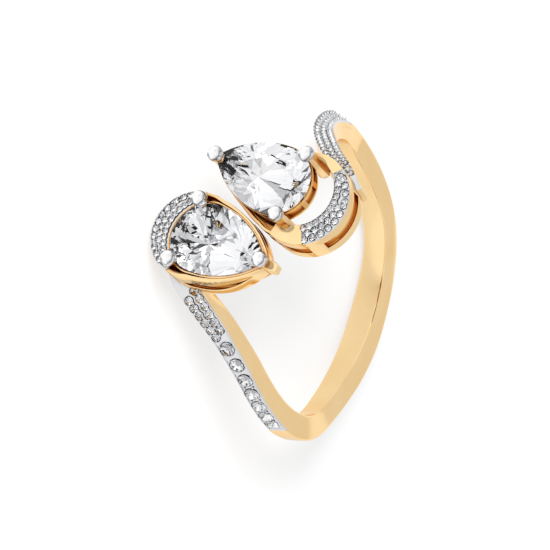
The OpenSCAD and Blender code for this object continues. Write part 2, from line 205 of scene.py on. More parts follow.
@dataclass(frozen=True)
class Finish:
    """What all finishes have: a name and the way their node tree starts."""

    name: str

    def start(self) -> tuple[bpy.types.Material, Graph]:
        """Make an empty node material.

        Returns:
            The material and its graph.
        """
        material = bpy.data.materials.new(self.name)
        material.use_nodes = True
        return material, Graph(material.node_tree)

    @staticmethod
    def place(graph: Graph, stretch: Sequence[float] = (1, 1, 1)) -> Value:
        """Give places on the object in millimetres.

        Args:
            graph: The material's graph.
            stretch: How much finer a texture gets along each axis.

        Returns:
            The places.
        """
        where = graph.add("ShaderNodeTexCoord", output="Object")
        scale = tuple(s / MM for s in stretch)
        return graph.add("ShaderNodeMapping", {"vector_type": "POINT"}, {0: where, 3: scale})

    @staticmethod
    def noise(graph: Graph, where: Value, scale: float, detail: float = 2.0) -> Value:
        """Add a noise of a number of waves a millimetre."""
        inputs = {"Vector": where, "Scale": scale, "Detail": detail}
        return graph.add("ShaderNodeTexNoise", {"noise_dimensions": "3D"}, inputs)

    @staticmethod
    def surface(graph: Graph, inputs: dict[object, object]) -> None:
        """Add the shader with its values and links, and the output."""
        shader = graph.add("ShaderNodeBsdfPrincipled", None, inputs)
        graph.add("ShaderNodeOutputMaterial", None, {"Surface": shader})


@dataclass(frozen=True)
class PolishedMetal(Finish):
    """Polished precious metal with a faint unevenness left by the buffing wheel, and painted shade:
    its colour darkens to a crevice colour in crevices and recesses.
    """

    light: tuple[float, float, float]
    deep: tuple[float, float, float]
    crevice_shade: tuple[float, float, float]
    rough: tuple[float, float] = (0.05, 0.12)
    reach: float = 0.8
    wave: float = 0.004
    cloud_scale: float = 0.35
    buffing_scale: float = 6.0
    swell_scale: float = 0.9
    relief: float = 0.25

    def build(self) -> bpy.types.Material:
        """Build the material.

        Returns:
            The new material.
        """
        material, graph = self.start()
        where = self.place(graph)
        cloud = self.noise(graph, where, self.cloud_scale).clamped(0.3, 0.7)
        fine = self.noise(graph, self.place(graph, (1, 1, 3)), self.buffing_scale, 4.0)
        colour = graph.blend(cloud, rgba(self.light), rgba(self.deep))
        # Painted shade: where ambient occlusion finds walls close by, the colour turns to the
        # crevice colour.
        inputs = {"Distance": self.reach * MM}
        free = graph.add("ShaderNodeAmbientOcclusion", {"samples": 6}, inputs, output=1)
        colour = graph.blend(free.clamped(0.3, 0.93), rgba(self.crevice_shade), colour)
        rough = fine.clamped(0.3, 0.75) * (self.rough[1] - self.rough[0]) + self.rough[0]
        soft = self.noise(graph, where, self.swell_scale, 1.0)
        inputs = {"Strength": self.relief, "Distance": self.wave * MM, "Height": soft}
        bump = graph.add("ShaderNodeBump", None, inputs)
        self.surface(
            graph,
            {
                "Base Color": colour,
                "Metallic": 1.0,
                "Roughness": rough,
                "Specular Tint": rgba([0.5 + 0.5 * part for part in self.light]),
                "Normal": bump,
            },
        )
        return material


@dataclass(frozen=True)
class PolishedBead(Finish):
    """Polished white bead whose base colour is painted reflection: the lights and darks that a small
    ball would gather from all round, set by how far each normal faces up.
    """

    up: tuple[float, float, float]
    stops: tuple[tuple[float, tuple[float, float, float]], ...] = (
        (0.20, (0.74, 0.74, 0.75)),
        (0.38, (0.46, 0.46, 0.47)),
        (0.48, (0.62, 0.62, 0.63)),
        (0.66, (0.78, 0.78, 0.79)),
        (0.70, (0.20, 0.20, 0.21)),
        (0.74, (0.36, 0.36, 0.37)),
        (0.80, (0.66, 0.66, 0.67)),
        (0.87, (0.92, 0.92, 0.93)),
        (0.94, (0.90, 0.90, 0.91)),
        (1.00, (0.62, 0.62, 0.63)),
    )
    wave_scale: float = 1.6
    wave_share: float = 0.45
    rough: float = 0.06

    def build(self) -> bpy.types.Material:
        """Build the material.

        Returns:
            The new material.
        """
        material, graph = self.start()
        # Painted reflection: the colour follows how far the normal faces up, wobbled by noise,
        # through the ramp of stops.
        turn = graph.add("ShaderNodeNewGeometry", output="Normal")
        inputs = {"Vector": turn, "Scale": self.wave_scale, "Detail": 0.5}
        wave = graph.add("ShaderNodeTexNoise", None, inputs)
        height = graph.along(turn, self.up)
        share = height * 0.5 + 0.5 + (wave - 0.5) * self.wave_share
        colour = graph.add("ShaderNodeValToRGB", {"stops": self.stops}, {0: share})
        self.surface(graph, {"Base Color": colour, "Metallic": 1.0, "Roughness": self.rough})
        return material


@dataclass(frozen=True)
class CutDiamond(Finish):
    """Clear crown of a stone, with a trace of cloudiness."""

    tint: tuple[float, float, float] = (1.0, 1.0, 1.0)
    shade: tuple[float, float, float] = (0.95, 0.96, 0.98)
    index: float = 1.3

    def build(self) -> bpy.types.Material:
        """Build the material.

        Returns:
            The new material.
        """
        material, graph = self.start()
        cloud = self.noise(graph, self.place(graph), 0.8).clamped(0.35, 0.7)
        colour = graph.blend(cloud, rgba(self.tint), rgba(self.shade))
        inputs = {"Base Color": colour, "Roughness": 0.0, "IOR": self.index}
        self.surface(graph, {**inputs, "Transmission Weight": 1.0})
        return material


@dataclass(frozen=True)
class Pavilion(Finish):
    """Lower facets of a stone as mirrors, each coloured from dark to bright by its own share:
    painted reflection of the lights and darks that a real stone mirrors.
    """

    dark: tuple[float, float, float] = (0.02, 0.02, 0.025)
    bright: tuple[float, float, float] = (0.995, 0.995, 1.0)

    def build(self) -> bpy.types.Material:
        """Build the material.

        Returns:
            The new material.
        """
        material, graph = self.start()
        share = graph.add("ShaderNodeAttribute", {"attribute_name": SHADE}, None, output=2)
        colour = graph.blend(share, rgba(self.dark), rgba(self.bright))
        self.surface(graph, {"Base Color": colour, "Metallic": 1.0, "Roughness": 0.0})
        return material


@dataclass(frozen=True)
class StudioFloor(Finish):
    """Plain pale floor with a barely visible mottle."""

    light: tuple[float, float, float] = (0.21, 0.21, 0.21)
    dark: tuple[float, float, float] = (0.20, 0.20, 0.201)
    glow: float = 0.66

    def build(self) -> bpy.types.Material:
        """Build the material.

        Returns:
            The new material.
        """
        material, graph = self.start()
        cloud = self.noise(graph, self.place(graph), 0.02)
        colour = graph.blend(cloud, rgba(self.light), rgba(self.dark))
        inputs = {"Base Color": colour, "Roughness": 0.9, "Emission Color": rgba((1, 1, 1))}
        self.surface(graph, {**inputs, "Emission Strength": self.glow})
        return material


class Metal(Enum):
    """The metals that show on the ring, and a darker copy of the gold that is painted shade."""

    # Each metal's third colour is its crevice colour: painted shade in recesses.
    GOLD = PolishedMetal(
        "yellow_gold", (0.945, 0.705, 0.385), (0.92, 0.66, 0.335), (0.52, 0.21, 0.05), (0.07, 0.13)
    )
    # Painted shade: a darker copy of the gold for the recessed channels, posts, screens, ledges and
    # inner faces of the heads.
    SHADED = PolishedMetal(
        "shaded_gold", (0.84, 0.50, 0.20), (0.62, 0.31, 0.09), (0.34, 0.12, 0.02), (0.08, 0.16)
    )
    RHODIUM = PolishedMetal(
        "white_rhodium", (0.74, 0.745, 0.755), (0.66, 0.665, 0.68), (0.42, 0.42, 0.43), (0.05, 0.12)
    )
    BEAD = PolishedBead("rhodium_bead_painted_reflection", tuple(float(part) for part in LAY @ (0, 0, 1)))


class Wardrobe:
    """Builds each material once."""

    def __init__(self) -> None:
        """Start with no materials."""
        self._made: dict[str, bpy.types.Material] = {}

    def get(self, finish: Finish | Metal) -> bpy.types.Material:
        """Give the material of a finish, built at the first call.

        Args:
            finish: The finish, or the metal that has it.

        Returns:
            The material.
        """
        finish = finish.value if isinstance(finish, Enum) else finish
        if finish.name not in self._made:
            self._made[finish.name] = finish.build()
        return self._made[finish.name]


# Shapes


def rounded(
    corners: Sequence[Sequence[float]], radius: float | Sequence[float], steps: int = 3
) -> Points:
    """Round the corners of a plane section.

    Args:
        corners: Corner points in order.
        radius: How far along its edges each corner is rounded, for all corners or one by one.
        steps: Number of chords at each corner.

    Returns:
        The section's points, steps + 1 for each corner.
    """
    corners = np.asarray(corners, float)
    count = len(corners)
    radii = [radius] * count if isinstance(radius, (int, float)) else list(radius)
    out = []
    for i in range(count):
        here, before, after = corners[i], corners[i - 1], corners[(i + 1) % count]
        a, b = before - here, after - here
        la, lb = np.linalg.norm(a), np.linalg.norm(b)
        a = here + a / max(la, 1e-9) * min(radii[i], 0.48 * la)
        b = here + b / max(lb, 1e-9) * min(radii[i], 0.48 * lb)
        for k in range(steps + 1):
            t = k / steps
            out.append((1 - t) ** 2 * a + 2 * t * (1 - t) * here + t * t * b)
    return np.array(out)


@dataclass
class Shape:
    """Points of the worn ring in millimetres, and the faces between them."""

    points: list[Points] = field(default_factory=list)
    faces: list[tuple[int, ...]] = field(default_factory=list)
    slots: list[int] = field(default_factory=list)
    shades: list[float] = field(default_factory=list)
    count: int = 0

    def add(
        self,
        points: Points,
        faces: Iterable[Sequence[int]],
        slot: int | Sequence[int] = 0,
        shades: Sequence[float] | None = None,
    ) -> None:
        """Add points and the faces between them.

        Args:
            points: The points.
            faces: Numbers of each face's points.
            slot: Material slot of all faces, or one for each.
            shades: Share of the light that each face throws back, painted reflection on a stone's
                lower facets. Otherwise all of it.
        """
        faces = list(faces)
        base = self.count
        points = np.asarray(points, float).reshape(-1, 3)
        self.points.append(points)
        self.count += len(points)
        self.faces.extend(tuple(base + int(i) for i in f) for f in faces)
        self.slots.extend([slot] * len(faces) if isinstance(slot, int) else slot)
        self.shades.extend([1.0] * len(faces) if shades is None else shades)

    def skin(
        self,
        rings: Points,
        closed: bool = False,
        slot: Callable[[int, int], int] | int = 0,
    ) -> None:
        """Join rings of points into a solid.

        Args:
            rings: Array of rings, each of as many points.
            closed: Whether the last ring joins the first. Otherwise both ends are capped.
            slot: Material slot, or a function of the ring's and the point's number.
        """
        rings = np.asarray(rings, float)
        n, m = rings.shape[:2]
        faces, slots = [], []
        for i in range(n if closed else n - 1):
            k = (i + 1) % n
            for j in range(m):
                q = (j + 1) % m
                faces.append((i * m + j, i * m + q, k * m + q, k * m + j))
                slots.append(slot if isinstance(slot, int) else slot(i, j))
        if not closed:
            faces.append(tuple(range(m - 1, -1, -1)))
            faces.append(tuple((n - 1) * m + j for j in range(m)))
            slots += [slot if isinstance(slot, int) else slot(0, 0)] * 2
        self.add(rings, faces, slots)

    def ball(
        self, centre: Points, radius: float, axis: Points, squash: float, around: int
    ) -> None:
        """Add a ball, squashed along an axis.

        Args:
            centre: Its middle.
            radius: Its radius.
            axis: The axis from pole to pole.
            squash: Its height along the axis, as a share of its width.
            around: Number of faces round the axis.
        """
        axis = unit(axis)
        x = unit(np.cross(axis, (0.3, 1.0, 0.2) if abs(axis[1]) < 0.9 else (1.0, 0.0, 0.0)))
        y = np.cross(axis, x)
        up = max(6, around // 2)
        points = [centre + axis * radius * squash, centre - axis * radius * squash]
        for i in range(1, up):
            a = math.pi * i / up
            for j in range(around):
                b = 2 * math.pi * j / around
                flat = math.sin(a) * radius
                points.append(
                    centre
                    + axis * math.cos(a) * radius * squash
                    + (x * math.cos(b) + y * math.sin(b)) * flat
                )
        faces = []
        for j in range(around):
            q = (j + 1) % around
            faces.append((0, 2 + j, 2 + q))
            last = 2 + (up - 2) * around
            faces.append((1, last + q, last + j))
            for i in range(up - 2):
                row = 2 + i * around
                faces.append((row + j, row + around + j, row + around + q, row + q))
        self.add(points, faces)

    def build(
        self,
        name: str,
        materials: Sequence[bpy.types.Material],
        smooth: float | None = 32.0,
        cutters: Sequence[bpy.types.Object] = (),
    ) -> bpy.types.Object:
        """Make the object.

        Args:
            name: The piece's name.
            materials: Its materials, in the order of the slots.
            smooth: Angle in degrees above which an edge stays sharp, or None for flat facets.
            cutters: Objects that are cut away from it.

        Returns:
            The new object.
        """
        mesh = bpy.data.meshes.new(name)
        mesh.from_pydata(lay_down(np.concatenate(self.points)).tolist(), [], self.faces)
        for material in materials:
            mesh.materials.append(material)
        mesh.polygons.foreach_set("material_index", self.slots)
        if min(self.shades) < 1.0:
            mesh.attributes.new(SHADE, "FLOAT", "FACE").data.foreach_set("value", self.shades)
        tidy = bmesh.new()
        tidy.from_mesh(mesh)
        bmesh.ops.recalc_face_normals(tidy, faces=tidy.faces)
        tidy.to_mesh(mesh)
        tidy.free()
        piece = bpy.data.objects.new(name, mesh)
        bpy.context.scene.collection.objects.link(piece)
        if cutters:
            carve(piece, cutters)
            mesh = piece.data
        if smooth is None:
            mesh.shade_flat()
        else:
            mesh.shade_smooth()
            mesh.set_sharp_from_angle(angle=math.radians(smooth))
            weigh = piece.modifiers.new("even_shading", "WEIGHTED_NORMAL")
            weigh.keep_sharp = True
        return piece


def carve(piece: bpy.types.Object, cutters: Sequence[bpy.types.Object]) -> None:
    """Cut solids away from a piece and keep the resulting mesh.

    Args:
        piece: The piece that is cut.
        cutters: The solids.
    """
    for cutter in cutters:
        cut = piece.modifiers.new("cut", "BOOLEAN")
        cut.operation, cut.solver, cut.object = "DIFFERENCE", "EXACT", cutter
    graph = bpy.context.evaluated_depsgraph_get()
    graph.update()
    mesh = bpy.data.meshes.new_from_object(piece.evaluated_get(graph))
    piece.modifiers.clear()
    old, piece.data = piece.data, mesh
    bpy.data.meshes.remove(old)
    mesh.name = piece.name


# The ring's own measures


@dataclass(frozen=True)
class Measures:
    """Sizes shared by several pieces, in millimetres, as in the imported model."""

    finger_r: float = 8.5
    band_w: float = 1.75
    band_t: float = 1.9
    arm_sweep: float = 6.0065
    hole_l: float = 9.1
    hole_flare: float = 0.4
    pear_l: float = 6.56
    pear_w: float = 4.36
    pear_crown: float = 0.62
    pear_pavilion: float = 1.85
    girdle_t: float = 0.12
    girdle_z: float = 11.77
    pear_x: float = 2.23
    pear_y: float = 1.0
    pear_turn: float = 20.0
    rail_z: float = 9.12
    halo_top: float = 11.67
    loop_top: float = 11.35
    bead_z: float = 12.19
    prong_angle: float = 32.0
    prong_out: float = 0.19
    rim_out: float = 0.16

    @property
    def pear_r(self) -> float:
        """Radius of a stone's round end."""
        return self.pear_w / 2

    @property
    def end_y(self) -> float:
        """Middle of the round end in the stone's own frame."""
        return self.pear_r - self.pear_l / 2

    @property
    def flank_r(self) -> float:
        """Radius of a stone's long sides."""
        reach = self.pear_l - self.pear_r
        return (self.pear_r**2 + reach**2) / (2 * self.pear_r)

    @property
    def flank_x(self) -> float:
        """How far the middle of a long side's arc lies past the stone's axis."""
        return self.flank_r - self.pear_r

    @property
    def prong_y(self) -> float:
        """Line through the two prongs beside the round end."""
        reach = self.pear_r + self.prong_out
        return self.end_y - reach * math.sin(math.radians(self.prong_angle))

    def tip_angle(self, gap: float) -> float:
        """Angle, in degrees, at which an outline a gap outside the stone reaches its tip."""
        return math.degrees(math.acos(self.flank_x / (self.flank_r + gap)))

    def on_head(self, side: int, points: Points) -> Points:
        """Move points from a stone's own frame to the ring's.

        Args:
            side: 1 for the right stone, -1 for the left.
            points: The points.

        Returns:
            The moved points.
        """
        points = np.asarray(points, float)
        turn = math.radians(self.pear_turn)
        c, s = math.cos(turn), math.sin(turn)
        x, y, z = points[..., 0], points[..., 1], points[..., 2]
        out = np.stack(
            [self.pear_x + c * x + s * y, c * y - s * x - self.pear_y, z], axis=-1
        )
        return out * (side, side, 1)

    def side_point(self, angle: float, gap: float) -> tuple[float, float]:
        """Give the point a gap outside the stone on its right side.

        Args:
            angle: Angle in degrees, from the prong's up to the tip's.
            gap: The gap.

        Returns:
            The point in the stone's own frame.
        """
        a = math.radians(angle)
        if angle < 0:
            r = self.pear_r + gap
            return r * math.cos(a), self.end_y + r * math.sin(a)
        r = self.flank_r + gap
        return r * math.cos(a) - self.flank_x, self.end_y + r * math.sin(a)

    def side_at(self, share: float, gap: float) -> tuple[float, float]:
        """Give the point a gap outside the stone, at a share of the way from prong to tip."""
        full = self.tip_angle(gap) + self.prong_angle
        return self.side_point(-self.prong_angle + full * share, gap)

    def outline(self, gap: float, steps: int = 24) -> Points:
        """Give a stone's outline, counter-clockwise from the widest point.

        Args:
            gap: How far outside the stone it runs.
            steps: Number of chords along each long side.

        Returns:
            The outline's points.
        """
        tip = self.tip_angle(gap)
        right = [self.side_point(tip * i / steps, gap) for i in range(steps + 1)]
        left = [(-x, y) for x, y in reversed(right[:-1])]
        low = []
        for i in range(1, 2 * steps):
            a = math.pi * (1 + i / (2 * steps))
            r = self.pear_r + gap
            low.append((r * math.cos(a), self.end_y + r * math.sin(a)))
        return np.array(right + left + low)


M = Measures()


class Table:
    """A table of sections, read smoothly between its rows."""

    def __init__(self, rows: Sequence[Sequence[float]]) -> None:
        """Keep the rows, whose first column runs upwards."""
        self.rows = rows

    def _slope(self, i: int, column: int) -> float:
        """Slope of a column at a row."""
        a, b = self.rows[max(i - 1, 0)], self.rows[min(i + 1, len(self.rows) - 1)]
        return (b[column] - a[column]) / (b[0] - a[0])

    def read(self, u: float, column: int) -> float:
        """Read a column between the rows.

        Args:
            u: Place in the first column.
            column: Number of the column.

        Returns:
            The value.
        """
        i = 0
        while i < len(self.rows) - 2 and u >= self.rows[i + 1][0]:
            i += 1
        a, b = self.rows[i], self.rows[i + 1]
        h = b[0] - a[0]
        s = (u - a[0]) / h
        m0, m1 = self._slope(i, column) * h, self._slope(i + 1, column) * h
        return (
            (2 * s**3 - 3 * s**2 + 1) * a[column]
            + (s**3 - 2 * s**2 + s) * m0
            + (3 * s**2 - 2 * s**3) * b[column]
            + (s**3 - s**2) * m1
        )


@dataclass
class BandPath:
    """The course of the band: places, directions and sections at an angle from the bottom."""

    table: Table = field(
        default_factory=lambda: Table(
            [
                (-166, 0.85, 0.24, 0.84, 0),
                (-159, 0.71, 0.66, 0.86, 0),
                (-151, 0.54, 0.76, 0.86, 0),
                (-138, 0.30, 0.70, 0.87, 0),
                (-120, 0.13, 0.64, 0.87, 0),
                (-80, 0.07, 0.70, 0.82, 0),
                (-40, 0.14, 0.80, 0.84, 0),
                (0, 0, 1.00, 1.00, 0),
                (40, -0.16, 0.90, 1.00, 0),
                (80, -0.09, 0.88, 0.91, 0),
                (105, -0.23, 0.60, 0.78, 0.60),
                (120, -0.305, 0.60, 0.78, 0.54),
                (138, -0.44, 0.67, 0.88, 0.26),
                (152, -0.67, 0.648, 0.975, 0.28),
                (161, -0.90, 0.48, 0.957, 0.18),
                (169, -1.09, 0.25, 0.87, 0.06),
            ]
        )
    )
    first: float = -166.0
    last: float = 169.0

    def sweep(self, u: float) -> float:
        """Place along the finger."""
        return M.arm_sweep * self.table.read(u, 1)

    def half(self, u: float) -> float:
        """Half the width."""
        return M.band_w * self.table.read(u, 2) / 2

    def top(self, u: float) -> float:
        """Radius of the outer surface."""
        return M.finger_r + M.band_t * self.table.read(u, 3)

    def tilt(self, u: float) -> float:
        """Slope of the outer surface across the band."""
        return self.table.read(u, 4)

    def outwards(self, u: float) -> Points:
        """Direction away from the finger."""
        a = math.radians(u)
        return np.array([math.sin(a), 0.0, -math.cos(a)])

    def along(self, u: float) -> Points:
        """Give the direction along the band.

        Args:
            u: Angle in degrees.

        Returns:
            The direction.
        """
        a = math.radians(u)
        rise = (self.sweep(u + 0.5) - self.sweep(u - 0.5)) / math.radians(1) / self.top(u)
        return unit([math.cos(a), rise, math.sin(a)])

    def across(self, u: float) -> Points:
        """Direction across the band, towards its front edge."""
        return np.cross(self.outwards(u), self.along(u))

    def point(self, u: float, v: float, r: float) -> Points:
        """Give the point at angle u, v across the band and r from the finger's axis."""
        return self.outwards(u) * r + (0, self.sweep(u), 0) + self.across(u) * v

    def crown(self, u: float, v: float) -> tuple[Points, Points]:
        """Give a point of the outer surface.

        Args:
            u: Angle in degrees.
            v: Distance across the band from its middle.

        Returns:
            The point and its normal.
        """
        tilt = self.tilt(u)
        angle = math.atan(tilt)
        normal = self.outwards(u) * math.cos(angle) + self.across(u) * math.sin(angle)
        return self.point(u, v, self.top(u) - v * tilt), normal


PATH = BandPath()
PLATE_T = 0.36
PLATED_EDGE = 0.07


# Stones

# Table of a small stone as a share of its width, and its crown, girdle and pavilion of its radius
SMALL_TABLE = 0.56
SMALL_HEIGHTS = (0.32, 0.04, 0.82)
# Share of a small stone's lower facets drawn dark, as painted reflection
SMALL_DARK = 0.1

# Painted reflection: shares of the light that dark, large dark, middling and bright lower facets
# throw back, in place of the surroundings that a real stone mirrors
DARK = (0.02, 0.16)
LARGE_DARK = (0.45, 0.65)
MIDDLING = (0.6, 0.85)
BRIGHT = (0.9, 0.999)
LARGE_FACET = 0.5
LOWER_SLOPE = 0.12


def cut_stone(
    reach: Callable[[float], float],
    table: float,
    crown: float,
    girdle: float,
    pavilion: float,
    mains: int = 8,
    fine: int = 1,
) -> tuple[Points, list[tuple[int, ...]]]:
    """Cut a brilliant, its girdle's upper edge at height 0 and its table upwards.

    Args:
        reach: Distance from the middle to the girdle at an angle in radians.
        table: Table's size as a share of the stone.
        crown: Height of the crown.
        girdle: Thickness of the girdle.
        pavilion: Depth of the pavilion.
        mains: Number of main facets.
        fine: Extra girdle points between a main and its neighbour.

    Returns:
        Points and faces.
    """
    points: list[tuple[float, float, float]] = []
    faces: list[tuple[int, ...]] = []
    step = 2 * math.pi / mains
    half = math.cos(step / 2)

    def put(angle: float, share: float, z: float) -> int:
        """Add a point.

        Args:
            angle: Its angle in radians.
            share: Its distance from the middle as a share of the stone's reach.
            z: Its height.

        Returns:
            The point's number.
        """
        r = reach(angle) * share
        points.append((r * math.cos(angle), r * math.sin(angle), z))
        return len(points) - 1

    start = math.pi / 2
    star = 0.5 * (table * half + 1)
    star_z = crown * (1 - star * half) / (1 - table)
    low = 0.24
    low_z = -girdle - pavilion * (1 - low * half)
    tops = [put(start + k * step, table, crown) for k in range(mains)]
    stars = [put(start + (k + 0.5) * step, star, star_z) for k in range(mains)]
    per = 2 * (fine + 1)
    rim = [start + i * step / per for i in range(mains * per)]
    upper = [put(a, 1.0, 0.0) for a in rim]
    lower = [put(a, 1.0, -girdle) for a in rim]
    lows = [put(start + (k + 0.5) * step, low, low_z) for k in range(mains)]
    points.append((0.0, 0.0, -girdle - pavilion))
    culet = len(points) - 1
    total = len(rim)
    faces.append(tuple(tops))
    for k in range(mains):
        q = (k + 1) % mains
        faces.append((tops[k], stars[k], tops[q]))
        faces.append((tops[k], stars[k - 1], upper[k * per]))
        faces.append((tops[k], upper[k * per], stars[k]))
        faces.append((culet, lower[k * per], lows[k - 1]))
        faces.append((culet, lows[k], lower[k * per]))
        for i in range(per):
            a, b = k * per + i, (k * per + i + 1) % total
            faces.append((stars[k], upper[a], upper[b]))
            faces.append((lows[k], lower[b], lower[a]))
            faces.append((upper[a], lower[a], lower[b], upper[b]))
    return np.array(points), faces


def facet_shades(
    points: Points,
    faces: Sequence[Sequence[int]],
    draw: random.Random,
    dark: Callable[[Points], float],
) -> tuple[list[int], list[float]]:
    """Tell a stone's lower facets from the others, and draw how much light each throws back, as
    painted reflection.

    Args:
        points: The stone's corners, its table upwards.
        faces: Its facets.
        draw: Source of chance.
        dark: Share of dark facets at a place of the stone.

    Returns:
        Material slot and shade of each facet.
    """
    centre = points.mean(axis=0)
    slots, shades = [], []
    for face in faces:
        a, b, c = points[face[0]], points[face[1]], points[face[2]]
        middle = points[list(face)].mean(axis=0)
        normal = unit(np.cross(b - a, c - a))
        if normal @ (middle - centre) < 0:
            normal = -normal
        lower = normal[2] < LOWER_SLOPE
        large = float(np.linalg.norm(np.cross(b - a, c - a))) > LARGE_FACET
        chance, share = draw.random(), dark(middle)
        if chance < share:
            shade = draw.uniform(*(LARGE_DARK if large else DARK))
        elif chance < 2.2 * share + 0.15:
            shade = draw.uniform(*MIDDLING)
        else:
            shade = draw.uniform(*BRIGHT)
        slots.append(1 if lower else 0)
        shades.append(shade if lower else BRIGHT[1])
    return slots, shades


@dataclass(frozen=True)
class Seat:
    """Place of a small stone: its middle, its normal, a direction and its radius."""

    centre: Points
    normal: Points
    ahead: Points
    radius: float


def add_stones(shape: Shape, seats: Sequence[Seat], turn: random.Random) -> None:
    """Add a round brilliant at each seat.

    Args:
        shape: Shape that they are added to.
        seats: Their seats.
        turn: Source of chance for their turns and facets.
    """
    for seat in seats:
        r = seat.radius
        heights = [height * r for height in SMALL_HEIGHTS]
        points, faces = cut_stone(lambda _: r, SMALL_TABLE, *heights)
        slots, shades = facet_shades(points, faces, turn, lambda _: SMALL_DARK)
        z = unit(seat.normal + np.array([turn.uniform(-0.05, 0.05) for _ in range(3)]))
        x = unit(seat.ahead - z * (seat.ahead @ z))
        a = turn.uniform(0, math.pi / 4)
        x = x * math.cos(a) + np.cross(z, x) * math.sin(a)
        y = np.cross(z, x)
        placed = seat.centre + points[:, :1] * x + points[:, 1:2] * y + points[:, 2:] * z
        shape.add(placed, faces, slots, shades)


@dataclass
class Setting:
    """A plated strip with seats for stones, bright edges and grains of metal between the stones."""

    name: str
    surface: Callable[[float, float], tuple[Points, Points]]
    spans: Callable[[float], tuple[float, float]]
    start: float
    end: float
    rows: int
    seats: list[Seat]
    grains: list[tuple[Points, Points, float]]
    pave: tuple[float, float]
    down: Callable[[float], Points] = lambda _: np.array([0.0, 0.0, -1.0])
    edge: float = 0.1
    roll: float = 0.06
    fall: float = 0.05
    floor: float = 0.05
    pitch: float = 0.05
    seat_gap: float = 0.03
    seat_depth: float = 0.07
    seat_slope: float = 0.9
    rim_share: float = 0.35

    def build(
        self, wardrobe: Wardrobe, cutters: Sequence[bpy.types.Object] = ()
    ) -> bpy.types.Object:
        """Build the strip.

        Args:
            wardrobe: Source of the materials.
            cutters: Objects cut away from it.

        Returns:
            The strip with its grains.
        """
        us = np.linspace(self.start, self.end, self.rows)
        low, high = self.spans(us[len(us) // 2])
        width = abs(high - low)
        inner = max(4, int((width - 0.3) / self.pitch))
        rim = [0.0, 0.025, self.roll, self.edge, self.edge + 0.03]
        places = np.zeros((len(us), 2 * len(rim) + inner, 3))
        normals = np.zeros_like(places)
        drop = np.zeros(places.shape[:2])
        for i, u in enumerate(us):
            low, high = self.spans(u)
            width = abs(high - low)
            k = min(1.0, width * self.rim_share / rim[-1])
            near = [e * k for e in rim]
            core = np.linspace(near[-1], width - near[-1], inner + 2)[1:-1]
            rows = near + list(core) + [width - e for e in reversed(near)]
            inside = self.pave[0] <= u <= self.pave[1]
            for j, e in enumerate(rows):
                v = low + (high - low) * e / width
                places[i, j], normals[i, j] = self.surface(u, v)
                gap = min(e, width - e) / k
                drop[i, j] = self.fall * (1 - gap / self.roll) ** 2 if gap < self.roll else 0.0
                if inside and gap >= rim[-1] - 1e-6:
                    drop[i, j] = self.floor
        for seat in self.seats:
            away = np.linalg.norm(places - seat.centre, axis=-1)
            hollow = self.seat_depth + (seat.radius + self.seat_gap - away) * self.seat_slope
            inside = away < seat.radius + self.seat_gap
            deepest = np.minimum(hollow, PLATE_T - self.roll)
            drop = np.where(inside, np.maximum(drop, deepest), drop)
        top = places - normals * drop[..., None]
        down = np.array([self.down(u) for u in us])
        edge_a, edge_b = (places[:, k] + down * (PLATED_EDGE + 0.05) for k in (0, -1))
        foot_a, foot_b = (places[:, k] + down * PLATE_T for k in (0, -1))
        rings = np.concatenate(
            [foot_a[:, None], edge_a[:, None], top, edge_b[:, None], foot_b[:, None]], axis=1
        )
        last = rings.shape[1] - 1
        shape = Shape()
        shape.skin(rings, slot=lambda _, j: 1 if j in (0, last - 1, last) else 0)
        for centre, normal, radius in self.grains:
            shape.ball(centre, radius, normal, squash=0.8, around=10)
        return shape.build(
            self.name, [wardrobe.get(Metal.RHODIUM), wardrobe.get(Metal.GOLD)], 40.0, cutters
        )


# Pieces

# Radius of the grains on a crescent, on an arm and beside an arm's large stones, and their lift
CRESCENT_GRAIN = 0.06
ARM_GRAIN = 0.065
LARGE_GRAIN = 0.085
GRAIN_LIFT = 0.03


def dress(piece: bpy.types.Object, slot: str, *nodes: str) -> bpy.types.Object:
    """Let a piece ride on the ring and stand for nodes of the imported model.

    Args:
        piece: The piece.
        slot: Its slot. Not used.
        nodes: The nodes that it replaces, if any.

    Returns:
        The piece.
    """
    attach(piece, "root")
    if nodes:
        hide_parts(*nodes)
    LOG.info("%s: %d faces", piece.name, len(piece.data.polygons))
    return piece


